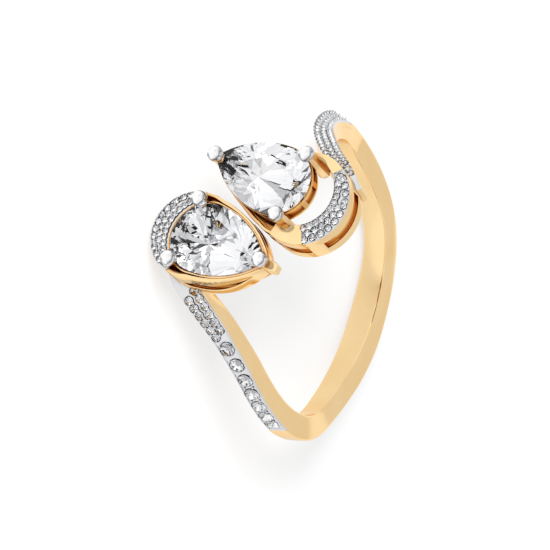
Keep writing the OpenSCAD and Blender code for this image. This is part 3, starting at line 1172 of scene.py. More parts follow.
@dataclass
class Band:
    """Gold body of the band, lowered where a plated strip lies on it."""

    zones: Sequence[tuple[float, float]]
    bevel: float = 0.22
    zone_bevel: float = 0.02
    inner_bevel: float = 0.26
    step: float = 1.0
    seam: float = 0.004

    def section(self, u: float, lowered: bool) -> Points:
        """Give the band's section.

        Args:
            u: Angle in degrees.
            lowered: Whether a plated strip lies on it there.

        Returns:
            The section's points on the ring.
        """
        half, top, tilt = PATH.half(u), PATH.top(u), PATH.tilt(u)
        down = PLATE_T if lowered else 0.0
        away = min(abs(u - edge) for zone in self.zones for edge in zone)
        radius = self.zone_bevel
        if not lowered:
            radius += (min(self.bevel, half * 0.6) - radius) * ease(away / 16)
        corners = [
            (-half, M.finger_r - 0.08),
            (half, M.finger_r - 0.08),
            (half, top - half * tilt - down),
            (-half, top + half * tilt - down),
        ]
        inner = min(self.inner_bevel, half * 0.5)
        flat = rounded(corners, [inner, inner, radius, radius], 5)
        out = np.array([PATH.point(u, v, r) for v, r in flat])
        for p in out:
            flare = max(0.0, abs(p[1]) - M.hole_l / 2) * M.hole_flare / 2
            wall = M.finger_r + flare
            away = math.hypot(p[0], p[2])
            if away < wall:
                p[[0, 2]] *= wall / away
        return out

    def build(self, wardrobe: Wardrobe, cutters: Sequence[bpy.types.Object]) -> bpy.types.Object:
        """Build the band.

        Args:
            wardrobe: Source of the materials.
            cutters: Objects cut away from it.

        Returns:
            The band.
        """
        stops = set(np.arange(PATH.first, PATH.last + 0.5, self.step))
        edges = {e for zone in self.zones for e in zone}
        rings = []
        for u in sorted(stops | edges):
            inside = any(a < u < b for a, b in self.zones)
            if u in edges:
                before = any(a < u - 0.01 < b for a, b in self.zones)
                after = any(a < u + 0.01 < b for a, b in self.zones)
                rings.append(self.section(u - self.seam, before))
                rings.append(self.section(u + self.seam, after))
            else:
                rings.append(self.section(u, inside))
        shape = Shape()
        shape.skin(np.array(rings))
        return shape.build("band", [wardrobe.get(Metal.GOLD)], 30.0, cutters)


@dataclass
class Crescent:
    """A crescent round the end of a stone: two circles, the outer one shifted."""

    side: int
    centre: tuple[float, float]
    shift: tuple[float, float]
    inner_r: float
    outer_r: float
    top: float
    fatten: float = 0.0
    fatten_from: float = -42.0
    fatten_over: float = 30.0

    def outer(self, angle: float) -> float:
        """Give the distance from the inner circle's middle to the outer edge.

        Args:
            angle: Angle in degrees.

        Returns:
            The distance.
        """
        a = math.radians(angle)
        d = self.shift[0] * math.cos(a) + self.shift[1] * math.sin(a)
        square = self.outer_r**2 - self.shift[0] ** 2 - self.shift[1] ** 2 + d * d
        more = self.fatten * ease((angle - self.fatten_from) / self.fatten_over)
        return d + math.sqrt(square) + more

    def at(self, angle: float, r: float, z: float) -> Points:
        """Give a point of the ring.

        Args:
            angle: Angle in degrees round the inner circle.
            r: Distance from its middle.
            z: Height.

        Returns:
            The point.
        """
        a = math.radians(angle)
        local = (self.centre[0] + r * math.cos(a), self.centre[1] + r * math.sin(a), z)
        return M.on_head(self.side, np.array(local))

    def surface(self, angle: float, r: float) -> tuple[Points, Points]:
        """Give the point of the top at an angle and a distance, and its normal."""
        return self.at(angle, r, self.top), np.array([0.0, 0.0, 1.0])

    def seats(
        self, first: float, last: float, rows: int, radius: float, edge: float
    ) -> list[Seat]:
        """Place small stones in rows that follow the crescent.

        Args:
            first: Angle at which they start.
            last: Angle at which they end.
            rows: Number of rows where the crescent is wide enough.
            radius: Radius of a stone.
            edge: Metal left beside the outer stones.

        Returns:
            The stones' seats.
        """
        found = []
        middle = 0.5 * (first + last)
        pitch = math.degrees((2 * radius + 0.035) / (0.5 * (self.inner_r + self.outer(middle))))
        count = int(abs(last - first) / pitch)
        for i in range(count):
            for k in range(rows):
                a = first + (last - first) * (i + 0.5 + 0.25 * (k % 2 * 2 - 1)) / count
                free = self.outer(a) - self.inner_r - 2 * edge - 2 * radius
                fitting = max(1, min(rows, 1 + int(free / (1.62 * radius))))
                if k >= fitting:
                    continue
                share = k / (fitting - 1) if fitting > 1 else 0.5
                r = self.inner_r + edge + radius + max(0.0, free) * share
                centre = self.at(a, r, self.top - 0.01)
                ahead = unit(self.at(a + 1, r, self.top) - self.at(a, r, self.top))
                found.append(Seat(centre, np.array([0.0, 0.0, 1.0]), ahead, radius))
        return found

    def setting(
        self,
        name: str,
        inner: float,
        zone: tuple[float, float],
        rows: int,
        seats: list[Seat],
        trim: float,
    ) -> Setting:
        """Give the plated strip on top.

        Args:
            name: The strip's name.
            inner: Distance of its inner edge from the inner circle's middle.
            zone: Angles at which it starts and ends.
            rows: Number of sections along it.
            seats: Seats of its stones.
            trim: Angle at each end that keeps its full height.

        Returns:
            The strip.
        """
        return Setting(
            name,
            self.surface,
            lambda a: (inner, self.outer(a)),
            *zone,
            rows,
            seats,
            grains_between(seats, CRESCENT_GRAIN, GRAIN_LIFT),
            (zone[0] + trim, zone[1] - trim),
        )


def grains_between(
    seats: Sequence[Seat], radius: float, lift: float, near: float = 1.25
) -> list[tuple[Points, Points, float]]:
    """Put grains of metal into the gaps between neighbouring stones.

    Args:
        seats: The stones' places.
        radius: Radius of a grain.
        lift: How far a grain's middle stands above the girdles.
        near: How far apart neighbours are, in diameters.

    Returns:
        Centre, normal and radius of each grain.
    """
    grains: list[tuple[Points, Points, float]] = []
    for i, a in enumerate(seats):
        for b in seats[i + 1 :]:
            gap = np.linalg.norm(a.centre - b.centre)
            if gap > (a.radius + b.radius) * near:
                continue
            normal = unit(a.normal + b.normal)
            side = unit(np.cross(normal, b.centre - a.centre))
            middle = (a.centre + b.centre) / 2
            size = min(a.radius, b.radius)
            for hand in (-1, 1):
                spot = middle + side * hand * size * 0.62 + normal * lift
                clear = all(np.linalg.norm(spot - g[0]) > radius * 1.5 for g in grains)
                away = all(np.linalg.norm(spot - s.centre) > s.radius * 0.93 for s in seats)
                if clear and away:
                    grains.append((spot, normal, radius))
    return grains


@dataclass
class Head:
    """Rim, prongs and side walls round one pear stone."""

    side: int
    wall_rows: Table = field(
        default_factory=lambda: Table(
            [
                (0, 1, 1, 0),
                (0.18, 0.82, 0.62, 0),
                (0.36, 0.50, 0.28, 0.02),
                (0.55, 0.12, 0.10, 0.12),
                (0.75, 0.02, 0.02, 0.30),
                (1, 0, 0, 0.64),
            ]
        )
    )
    loop_h: float = 2.65
    rail_h: float = 0.5
    window_h: float = 0.78
    wall_t: float = 0.2
    soft: float = 0.06
    stem_r: float = 0.4
    stem_steps: int = 42
    flutes: int = 7
    flute_depth: float = 0.09
    wall_steps: int = 56
    window: tuple[float, float] = (0.05, 0.8)
    headroom: float = 0.3
    screen_out: tuple[float, float] = (-0.32, -0.24)
    ledge_out: tuple[float, float] = (-0.3, -0.1)
    ledge_z: tuple[float, float] = (-1.5, -1.3)

    def belt(
        self,
        shape: Shape,
        gaps: Callable[[float], float],
        deep: float,
        low: float,
        high: float,
        slot: int = 0,
    ) -> None:
        """Add a closed strip round the stone.

        Args:
            shape: Shape that it is added to.
            gaps: How far outside the stone its outer face lies, for a place along the stone.
            deep: Its thickness.
            low: Height of its lower edge.
            high: Height of its upper edge.
            slot: Its material slot.
        """
        base = M.outline(0.0)
        away = M.outline(1.0) - base
        soft = min(0.05, (high - low) / 3)
        section = rounded([(0, low), (deep, low), (deep, high), (0, high)], soft, 3)
        rings = []
        for point, out in zip(base, away):
            gap = gaps(point[1])
            rings.append([(*(point + out * (gap - deep + v)), z) for v, z in section])
        shape.skin(M.on_head(self.side, np.array(rings)), True, slot)

    def posts(
        self, shape: Shape, gap: float, low: float, high: float, angles: Sequence[float]
    ) -> None:
        """Add small posts under the round end.

        Args:
            shape: Shape that they are added to.
            gap: How far outside the stone their outer faces lie.
            low: Height of their feet.
            high: Height of their tops.
            angles: Their places round the end, in degrees.
        """
        for angle in angles:
            rings = []
            for z in (low, high):
                ring = []
                for da, r in ((-5.5, -0.2), (5.5, -0.2), (4.5, 0.0), (-4.5, 0.0)):
                    a, far = math.radians(angle + da), M.pear_r + gap + r
                    ring.append((far * math.cos(a), M.end_y + far * math.sin(a), z))
                rings.append(ring)
            # The posts take the shaded gold: painted shade.
            shape.skin(M.on_head(self.side, np.array(rings)), slot=1)

    def prong(self, shape: Shape, place: tuple[float, float], foot: float) -> None:
        """Add a fluted stem.

        Args:
            shape: Shape that it is added to.
            place: Its place in the stone's own frame.
            foot: Height of its foot.
        """
        rings = []
        for z, swell in (
            (foot, 0.9),
            (foot + 0.06, 1.0),
            (M.bead_z - 0.7, 1.0),
            (M.bead_z - 0.5, 0.93),
            (M.bead_z - 0.25, 0.9),
            (M.bead_z, 0.8),
        ):
            ring = []
            for j in range(self.stem_steps):
                a = 2 * math.pi * j / self.stem_steps
                flute = (0.5 - 0.5 * math.cos(self.flutes * a)) ** 0.7
                r = self.stem_r * swell * (1 - self.flute_depth * flute)
                ring.append((place[0] + r * math.cos(a), place[1] + r * math.sin(a), z))
            rings.append(ring)
        shape.skin(M.on_head(self.side, np.array(rings)))

    def places(self) -> list[tuple[float, float, float]]:
        """Give the prongs' places and the heights of their feet.

        Returns:
            Two places beside the round end and the one at the tip, each with its height.
        """
        x = (M.pear_r + M.prong_out) * math.cos(math.radians(M.prong_angle))
        return [
            (x, M.prong_y, M.rail_z),
            (-x, M.prong_y, M.rail_z),
            (0.0, M.pear_l / 2 - 0.12, M.girdle_z - 1.05),
        ]

    def wall(
        self,
        shape: Shape,
        hand: int,
        column: int,
        near: float,
        far: float,
        top: float,
    ) -> None:
        """Add the wall along one long side, with its lens-shaped window and its rail.

        Args:
            shape: Shape that it is added to.
            hand: 1 for the stone's right side, -1 for its left.
            column: Column of the wall table that shapes its plan.
            near: How far outside the stone it starts, at the prong.
            far: How far outside the stone it ends, at the tip.
            top: Height of its upper edge.
        """
        upper, rail, back, ledge = [], [], [], []
        for i in range(self.wall_steps + 1):
            s = i / self.wall_steps
            reach = far + (near - far) * self.wall_rows.read(s, column)
            foot = M.rail_z + self.loop_h * self.wall_rows.read(s, 3)
            local = (s - self.window[0]) / self.window[1]
            opening = 2 * local * (1 - local) * self.window_h if 0 < local < 1 else 0.0
            highest = top - self.headroom - opening
            middle = min(foot + self.rail_h + self.window_h / 2, highest)
            a, b = M.side_at(s, reach - self.wall_t), M.side_at(s, reach)
            thick, soft = self.wall_t, self.soft
            bevel = min(soft, opening * 0.5)
            for rings, low, high, radii in (
                (upper, middle + opening, top, [bevel, bevel, soft, soft]),
                (rail, foot, middle - opening, [soft, soft, bevel, bevel]),
            ):
                section = rounded([(0, low), (thick, low), (thick, high), (0, high)], radii, 3)
                rings.append(
                    [
                        (hand * mix(a[0], b[0], v / thick), mix(a[1], b[1], v / thick), z)
                        for v, z in section
                    ]
                )
            shelf = (M.girdle_z + self.ledge_z[0], M.girdle_z + self.ledge_z[1])
            screen = (foot + 0.03, min(top - 0.45, M.girdle_z - 0.5))
            for rings, start, end, (low, high) in (
                (back, reach + self.screen_out[0], reach + self.screen_out[1], screen),
                (ledge, self.ledge_out[0], reach + self.ledge_out[1], shelf),
            ):
                a, b = M.side_at(s, start), M.side_at(s, end)
                corners = ((a, low), (b, low), (b, high), (a, high))
                rings.append([(hand * side[0], side[1], z) for side, z in corners])
        # The screen behind and the ledge take the shaded gold: painted shade.
        for rings in (back, ledge):
            shape.skin(M.on_head(self.side, np.array(rings)), slot=1)
        # Each strip's inner face takes the shaded gold: painted shade.
        for rings in (upper, rail):
            last = len(rings[0]) - 1
            shape.skin(
                M.on_head(self.side, np.array(rings)), slot=lambda _, j: 1 if j == last else 0
            )


@dataclass
class RightHead(Head):
    """The right stone's head with its open loop."""

    side: int = 1
    window_h: float = 1.15
    rail_h: float = 0.4
    slot_h: float = 0.78
    slot_depth: float = 0.24
    slot_spans: tuple[tuple[float, float], ...] = ((-188.0, -146.0), (-130.0, -66.0))
    loop_r: float = 2.18
    loop_w: float = 1.33
    loop_shift: float = 0.46
    loop_lean: float = 35.0
    loop_fatten: float = 0.05

    def crescent(self) -> Crescent:
        """Give the loop's plan.

        Returns:
            The crescent, whose outer circle leans to the left.
        """
        reach, lean = self.loop_shift * self.loop_w, math.radians(self.loop_lean)
        return Crescent(
            1,
            (0.0, self.loop_r - M.pear_l / 2 - 0.3 - 1.16),
            (-reach * math.sin(lean), -reach * math.cos(lean)),
            self.loop_r,
            self.loop_r + self.loop_w - reach,
            M.loop_top,
            self.loop_fatten,
        )

    def loop(self, shape: Shape, zone: tuple[float, float]) -> None:
        """Add the loop's slotted wall.

        Args:
            shape: Shape that it is added to.
            zone: Angles between which a plated strip lies on it.
        """
        crescent = self.crescent()
        slot_low = M.rail_z + (M.loop_top - M.rail_z - self.slot_h) * 0.45
        spans, depth = self.slot_spans, self.slot_depth
        angles: list[tuple[float, float, bool]] = []
        marks = sorted({*np.arange(-186.0, 7.0, 2.0), *[e for s in spans for e in s], *zone})
        for a in marks:
            edge = a in zone or any(a in s for s in spans)
            for da in (-0.25, 0.25) if edge else (0.0,):
                cut = any(lo < a + da < hi for lo, hi in spans)
                angles.append((a + da, depth if cut else 0.0, zone[0] < a + da < zone[1]))
        rings = []
        for a, cut, lowered in angles:
            outer = crescent.outer(a)
            top = M.loop_top - (PLATE_T if lowered else 0.0)
            soft = 0.015 if lowered else self.soft
            corners = [
                (crescent.inner_r, M.rail_z),
                (outer, M.rail_z),
                (outer, slot_low),
                (outer - cut, slot_low),
                (outer - cut, slot_low + self.slot_h),
                (outer, slot_low + self.slot_h),
                (outer, top),
                (crescent.inner_r, top),
            ]
            bite = 0.04 if cut else 0.0
            section = rounded(corners, [self.soft, self.soft, bite, 0, 0, bite, soft, soft], 3)
            rings.append([crescent.at(a, r, z) for r, z in section])
        shape.skin(np.array(rings))

    def build(self, wardrobe: Wardrobe, zone: tuple[float, float]) -> bpy.types.Object:
        """Build the head's metal.

        Args:
            wardrobe: Source of the materials.
            zone: Angles between which a plated strip lies on the loop.

        Returns:
            The head.
        """
        shape = Shape()
        top = M.girdle_z - M.girdle_t
        low, high = top - 1.1, top - 0.32
        self.belt(shape, lambda _: 0.06, deep=0.05, low=top - 0.22, high=top - 0.03)
        self.belt(shape, lambda _: -0.02, deep=0.2, low=top - 1.2, high=top - 1.02)
        # The recessed channel takes the shaded gold: painted shade.
        self.belt(shape, lambda _: -0.17, deep=0.1, low=low, high=high, slot=1)
        self.posts(shape, -0.03, low, high, angles=(-142, -106, -70, -24))
        for x, y, foot in self.places():
            self.prong(shape, (x, y), foot)
        self.loop(shape, zone)
        crescent = self.crescent()
        d = M.prong_y - crescent.centre[1] - crescent.shift[1]
        x = crescent.shift[0] - math.sqrt(crescent.outer_r**2 - d * d)
        near = math.hypot(x, M.prong_y - M.end_y) - M.pear_r - 0.03
        self.wall(shape, -1, 1, near, far=0.06, top=M.loop_top - 0.1)
        self.wall(shape, 1, 2, M.rim_out, far=0.06, top=M.girdle_z - 0.31)
        return shape.build("right_head", [wardrobe.get(Metal.GOLD), wardrobe.get(Metal.SHADED)])


@dataclass
class LeftHead(Head):
    """The left stone's head with its halo and beak."""

    side: int = -1
    halo_w: float = 1.14
    halo_shift: float = 0.9
    beak_steps: int = 16
    beak_half: float = 0.32
    beak_deep: float = 0.82

    @property
    def halo_inner(self) -> float:
        """Inner radius of the halo's body."""
        return M.pear_r + M.rim_out - 0.05

    def crescent(self) -> Crescent:
        """Give the halo's plan.

        Returns:
            The crescent.
        """
        inner = M.pear_r + M.rim_out + 0.12
        outer = inner + self.halo_w - self.halo_shift
        return Crescent(-1, (0.0, M.end_y), (0.0, -self.halo_shift), inner, outer, M.halo_top)

    def halo(self, shape: Shape) -> None:
        """Add the halo's body and its skirt.

        Args:
            shape: Shape that they are added to.
        """
        crescent = self.crescent()
        rings = []
        for a in np.arange(-153.0, -26.0, 1.5):
            outer = crescent.outer(a)
            inner = self.halo_inner
            top = M.halo_top - PLATE_T
            corners = [
                (inner, M.halo_top - 0.95),
                (outer - 0.3, M.halo_top - 0.95),
                (outer - 0.3, M.rail_z),
                (outer, M.rail_z),
                (outer, top),
                (inner, top),
            ]
            section = rounded(corners, [0.04, 0.02, self.soft, self.soft, 0.015, 0.015], 3)
            rings.append([crescent.at(a, r, z) for r, z in section])
        shape.skin(np.array(rings))

    @staticmethod
    def rim_gap(y: float) -> float:
        """How far outside the stone the rim lies: further round the halo's end."""
        return 0.11 + 0.07 * ease(M.end_y + 0.5 - y)

    def beak(self, shape: Shape) -> None:
        """Add the beak past the tip.

        Args:
            shape: Shape that it is added to.
        """
        tip, top = M.pear_l / 2, M.halo_top
        steps, wide, deep = self.beak_steps, self.beak_half, self.beak_deep
        sections = []
        for k in range(steps + 1):
            share = k / steps
            round_off = max(0.0, share - 0.72) / 0.28
            half = wide * math.sqrt(1 - 0.5 * round_off**2)
            section = rounded([(-half, -deep), (half, -deep), (half, 0), (-half, 0)], 0.1, 4)
            sections.append(
                [
                    (x, tip + mix(-0.5, mix(0.86, 0.76, -z / deep), share), top + z)
                    for x, z in section
                ]
            )
        shape.skin(M.on_head(self.side, np.array(sections)))

    def build(self, wardrobe: Wardrobe) -> bpy.types.Object:
        """Build the head's metal.

        Args:
            wardrobe: Source of the materials.

        Returns:
            The head.
        """
        shape = Shape()
        top = M.girdle_z - M.girdle_t
        self.belt(shape, self.rim_gap, deep=0.1, low=top - 0.45, high=top + 0.03)
        # The lower belt takes the shaded gold: painted shade.
        self.belt(shape, lambda _: 0.16, deep=0.5, low=10.3, high=10.5, slot=1)
        for x, y, foot in self.places():
            self.prong(shape, (x, y), foot)
        self.halo(shape)
        near = self.crescent().outer(-M.prong_angle) - M.pear_r - 0.03
        for hand in (-1, 1):
            self.wall(shape, hand, 2, near, far=0.24, top=M.halo_top - 0.06)
        self.beak(shape)
        return shape.build("left_head", [wardrobe.get(Metal.GOLD), wardrobe.get(Metal.SHADED)])


@dataclass
class PearStones:
    """The two pear stones and the plated beads that hold them."""

    table: float = 0.56
    keel: tuple[float, float] = (-1.25, 0.75)
    swell: float = 1.12
    star: tuple[float, float] = (0.775, 0.56)
    rows: tuple[float, float, float] = (0.80, 0.55, 0.26)
    mains: int = 8
    long_steps: int = 60
    bead_r: float = 0.5
    bead_faces: int = 40

    def lengths(self) -> tuple[Points, Points]:
        """Give the outline and the length from each of its points to the next.

        Returns:
            The outline's points and the lengths.
        """
        outline = M.outline(0.0, self.long_steps)
        return outline, np.linalg.norm(np.roll(outline, -1, axis=0) - outline, axis=1)

    def ring(
        self, turns: Iterable[float], share: float, z: float, inner: Callable[[float], float]
    ) -> list[tuple[float, float, float]]:
        """Give points at a share of the way from the stone's middle line to its outline.

        Args:
            turns: Places on the outline, as shares of its length from its widest point.
            share: Share of the way out.
            z: Height.
            inner: Place on the middle line for the outline's place.

        Returns:
            The points.
        """
        outline, steps = self.lengths()
        at = np.concatenate([[0.0], np.cumsum(steps)]) / steps.sum()
        closed = np.vstack([outline, outline[:1]])
        found = []
        for turn in turns:
            x = np.interp(turn % 1.0, at, closed[:, 0])
            y = np.interp(turn % 1.0, at, closed[:, 1])
            start = inner(y)
            found.append((x * share, start + (y - start) * share, z))
        return found

    def stone(
        self, side: int, wardrobe: Wardrobe, name: str, draw: random.Random
    ) -> bpy.types.Object:
        """Build one stone as the smallest solid round its corners.

        Args:
            side: 1 for the right stone, -1 for the left.
            wardrobe: Source of the materials.
            name: The piece's name.
            draw: Source of chance for its facets.

        Returns:
            The stone.
        """
        crown, deep = M.pear_crown, M.pear_pavilion
        low, high = self.keel

        def keel(y: float) -> float:
            """Place on the keel nearest to a place along the stone."""
            return min(high, max(low, y))

        def table(_: float) -> float:
            """Place that the table's points lead away from."""
            return M.end_y * 0.45

        tip, mains = self.tip_turn(), self.mains
        wide = [tip + i / mains for i in range(mains)]
        between = [tip + (i + 0.5) / mains for i in range(mains)]
        fine = [tip + i / (6 * mains) for i in range(6 * mains)]
        points = self.ring(wide, self.table, crown, table)
        points += self.ring(between, self.star[0], crown * self.star[1], table)
        points += self.ring(fine, 1.0, 0.0, table) + self.ring(fine, 1.0, -M.girdle_t, table)
        offset = [tip + (i + 0.5) / (2 * mains) for i in range(2 * mains)]
        level = [tip + i / (2 * mains) for i in range(2 * mains)]
        for share, turns in zip(self.rows, (offset, level, between)):
            depth = -M.girdle_t - deep * (1 - share**self.swell)
            points += self.ring(turns, share, depth, keel)
        points += [(0.0, y, -M.girdle_t - deep) for y in (low, high)]
        mesh = bmesh.new()
        for x, y, z in points:
            mesh.verts.new(Vector((x, y, z + M.girdle_z)))
        bmesh.ops.convex_hull(mesh, input=mesh.verts)
        loose = [v for v in mesh.verts if not v.link_faces]
        bmesh.ops.delete(mesh, geom=loose, context="VERTS")
        bmesh.ops.dissolve_limit(
            mesh, angle_limit=math.radians(0.4), verts=mesh.verts, edges=mesh.edges
        )
        mesh.verts.index_update()
        corners = np.array([v.co[:] for v in mesh.verts])
        faces = [[v.index for v in face.verts] for face in mesh.faces]
        mesh.free()
        shape = Shape()
        # Painted reflection: more dark lower facets towards the round end, fewer towards the tip.
        slots, shades = facet_shades(
            corners, faces, draw, lambda p: mix(0.16, 0.0, ease(0.6 + 0.5 * p[1]))
        )
        shape.add(M.on_head(side, corners), faces, slots, shades)
        finishes = [CutDiamond("pear_diamond"), Pavilion("pear_pavilion")]
        return shape.build(name, [wardrobe.get(finish) for finish in finishes], None)

    def tip_turn(self) -> float:
        """Give the tip's place as a share of the outline's length from its widest point."""
        _, steps = self.lengths()
        return float(steps[: self.long_steps].sum() / steps.sum())

    def beads(self, head: Head, wardrobe: Wardrobe, name: str) -> bpy.types.Object:
        """Build the beads of one head.

        Args:
            head: The head.
            wardrobe: Source of the materials.
            name: The piece's name.

        Returns:
            The beads, in one piece.
        """
        shape = Shape()
        for x, y, _ in head.places():
            centre = M.on_head(head.side, np.array([x, y, M.bead_z]))
            upright = np.array([0.0, 0.0, 1.0])
            shape.ball(centre, self.bead_r, upright, squash=1.0, around=self.bead_faces)
        return shape.build(name, [wardrobe.get(Metal.BEAD)])


@dataclass
class Arms:
    """The plated strips of the two arms, with their stones."""

    left_zone: tuple[float, float] = (-166.0, -92.5)
    right_zone: tuple[float, float] = (99.5, 169.0)
    left_pave: tuple[float, float] = (-154.0, -93.5)
    right_pave: tuple[float, float] = (101.0, 162.5)
    large: tuple[float, ...] = (-97.3, -103.2, -109.4, -115.7, -122.0, -128.3, -134.6)
    small: tuple[float, float] = (-138.0, -152.3)
    ribbon: tuple[float, float] = (101.1, 161.5)
    spacing: tuple[float, float] = (2.1, 1.0)
    spacing_from: float = 116.0
    spacing_over: float = 30.0
    stone_r: float = 0.45
    row_pitch: float = 0.27

    def seat(self, u: float, v: float, radius: float) -> Seat:
        """Give a seat on the band."""
        place, normal = PATH.crown(u, v)
        return Seat(place - normal * 0.02, normal, PATH.along(u), radius)

    def degrees(self, u: float, length: float) -> float:
        """Turn a length along the band into degrees.

        Args:
            u: Angle at which the length lies.
            length: The length.

        Returns:
            The angle that it takes up.
        """
        ahead, _ = PATH.crown(u + 0.5, 0.0)
        behind, _ = PATH.crown(u - 0.5, 0.0)
        return length / float(np.linalg.norm(ahead - behind))

    def filled(
        self,
        first: float,
        last: float,
        wide: float,
        edge: float = 0.085,
        stretch: Callable[[float], float] = lambda _: 1.0,
    ) -> list[Seat]:
        """Fill a stretch with rows of small stones that follow its width.

        Args:
            first: Angle at which the stretch starts.
            last: Angle at which it ends, above or below first.
            wide: Half width from which three rows are used in place of two.
            edge: Metal left beside the outer stones.
            stretch: How much further apart than touching the stones lie, at an angle.

        Returns:
            The stones' seats.
        """
        found = []
        u, sign = first, math.copysign(1.0, last - first)
        while (last - u) * sign > 0:
            half = PATH.half(u)
            rows = 3 if half > wide else (2 if half > 0.34 else 1)
            radius = min(0.26, (half - edge) / rows * 0.98)
            pitch = self.degrees(u, 2 * radius + 0.03) * stretch(u)
            for k in range(rows):
                v = (half - edge - radius) * (2 * k / (rows - 1) - 1) if rows > 1 else 0.0
                lead = 0.5 * pitch * (k % 2) + 0.5 * pitch
                found.append(self.seat(u + sign * lead, v, radius))
            u += sign * pitch
        return found

    def left_seats(self) -> list[Seat]:
        """Place the left arm's stones: one row of large ones, then small ones side by side."""
        found = [self.seat(u, 0.0, min(self.stone_r, PATH.half(u) - 0.09)) for u in self.large]
        return found + self.filled(*self.small, wide=9.0)

    def right_seats(self) -> list[Seat]:
        """Place the ribbon's stones."""
        return self.filled(*self.ribbon, wide=0.46, edge=0.04, stretch=self.spaced)

    def spaced(self, u: float) -> float:
        """How much further apart than touching the ribbon's stones lie, at an angle."""
        return mix(*self.spacing, ease((u - self.spacing_from) / self.spacing_over))

    @staticmethod
    def leaning(seats: Sequence[Seat], lean: float) -> list[Seat]:
        """Let stones lean towards the band's front edge, as a setter lays them round a curl.

        Args:
            seats: The stones' seats.
            lean: How far they lean at the start of the arm.

        Returns:
            The leaning seats.
        """
        found = []
        for seat in seats:
            u = math.degrees(math.atan2(seat.centre[0], -seat.centre[2]))
            share = lean * (1 - ease((u - 118) / 32))
            front = np.cross(seat.normal, seat.ahead)
            found.append(
                replace(
                    seat,
                    centre=seat.centre + seat.normal * 0.02 * share,
                    normal=unit(seat.normal + share * front),
                )
            )
        return found

    def setting(
        self,
        name: str,
        zone: tuple[float, float],
        seats: list[Seat],
        pave: tuple[float, float],
    ) -> Setting:
        """Give the plated strip for a zone.

        Args:
            name: The strip's name.
            zone: Angles at which it starts and ends.
            seats: Seats of its stones.
            pave: Angles between which it is lowered for its stones.

        Returns:
            The strip.
        """
        big = max(s.radius for s in seats)
        grains = grains_between(seats, LARGE_GRAIN if big > 0.4 else ARM_GRAIN, GRAIN_LIFT)
        return Setting(
            name,
            PATH.crown,
            lambda u: (-PATH.half(u), PATH.half(u)),
            *zone,
            int(abs(zone[1] - zone[0]) / self.row_pitch),
            seats,
            grains,
            pave,
            lambda u: -PATH.outwards(u),
        )


def cylinder_cutter(name: str, centre: Points, radius: float, top: float) -> bpy.types.Object:
    """Make an upright cylinder for cutting, from the finger up to a height.

    Args:
        name: Its name.
        centre: A point of its axis.
        radius: Its radius.
        top: Height of its top.

    Returns:
        The cylinder.
    """
    shape = Shape()
    rings = []
    for z in (5.0, top):
        ring = []
        for j in range(96):
            a = 2 * math.pi * j / 96
            ring.append((centre[0] + radius * math.cos(a), centre[1] + radius * math.sin(a), z))
        rings.append(ring)
    shape.skin(np.array(rings))
    cutter = shape.build(name, [])
    cutter.modifiers.clear()
    return cutter


# Studio


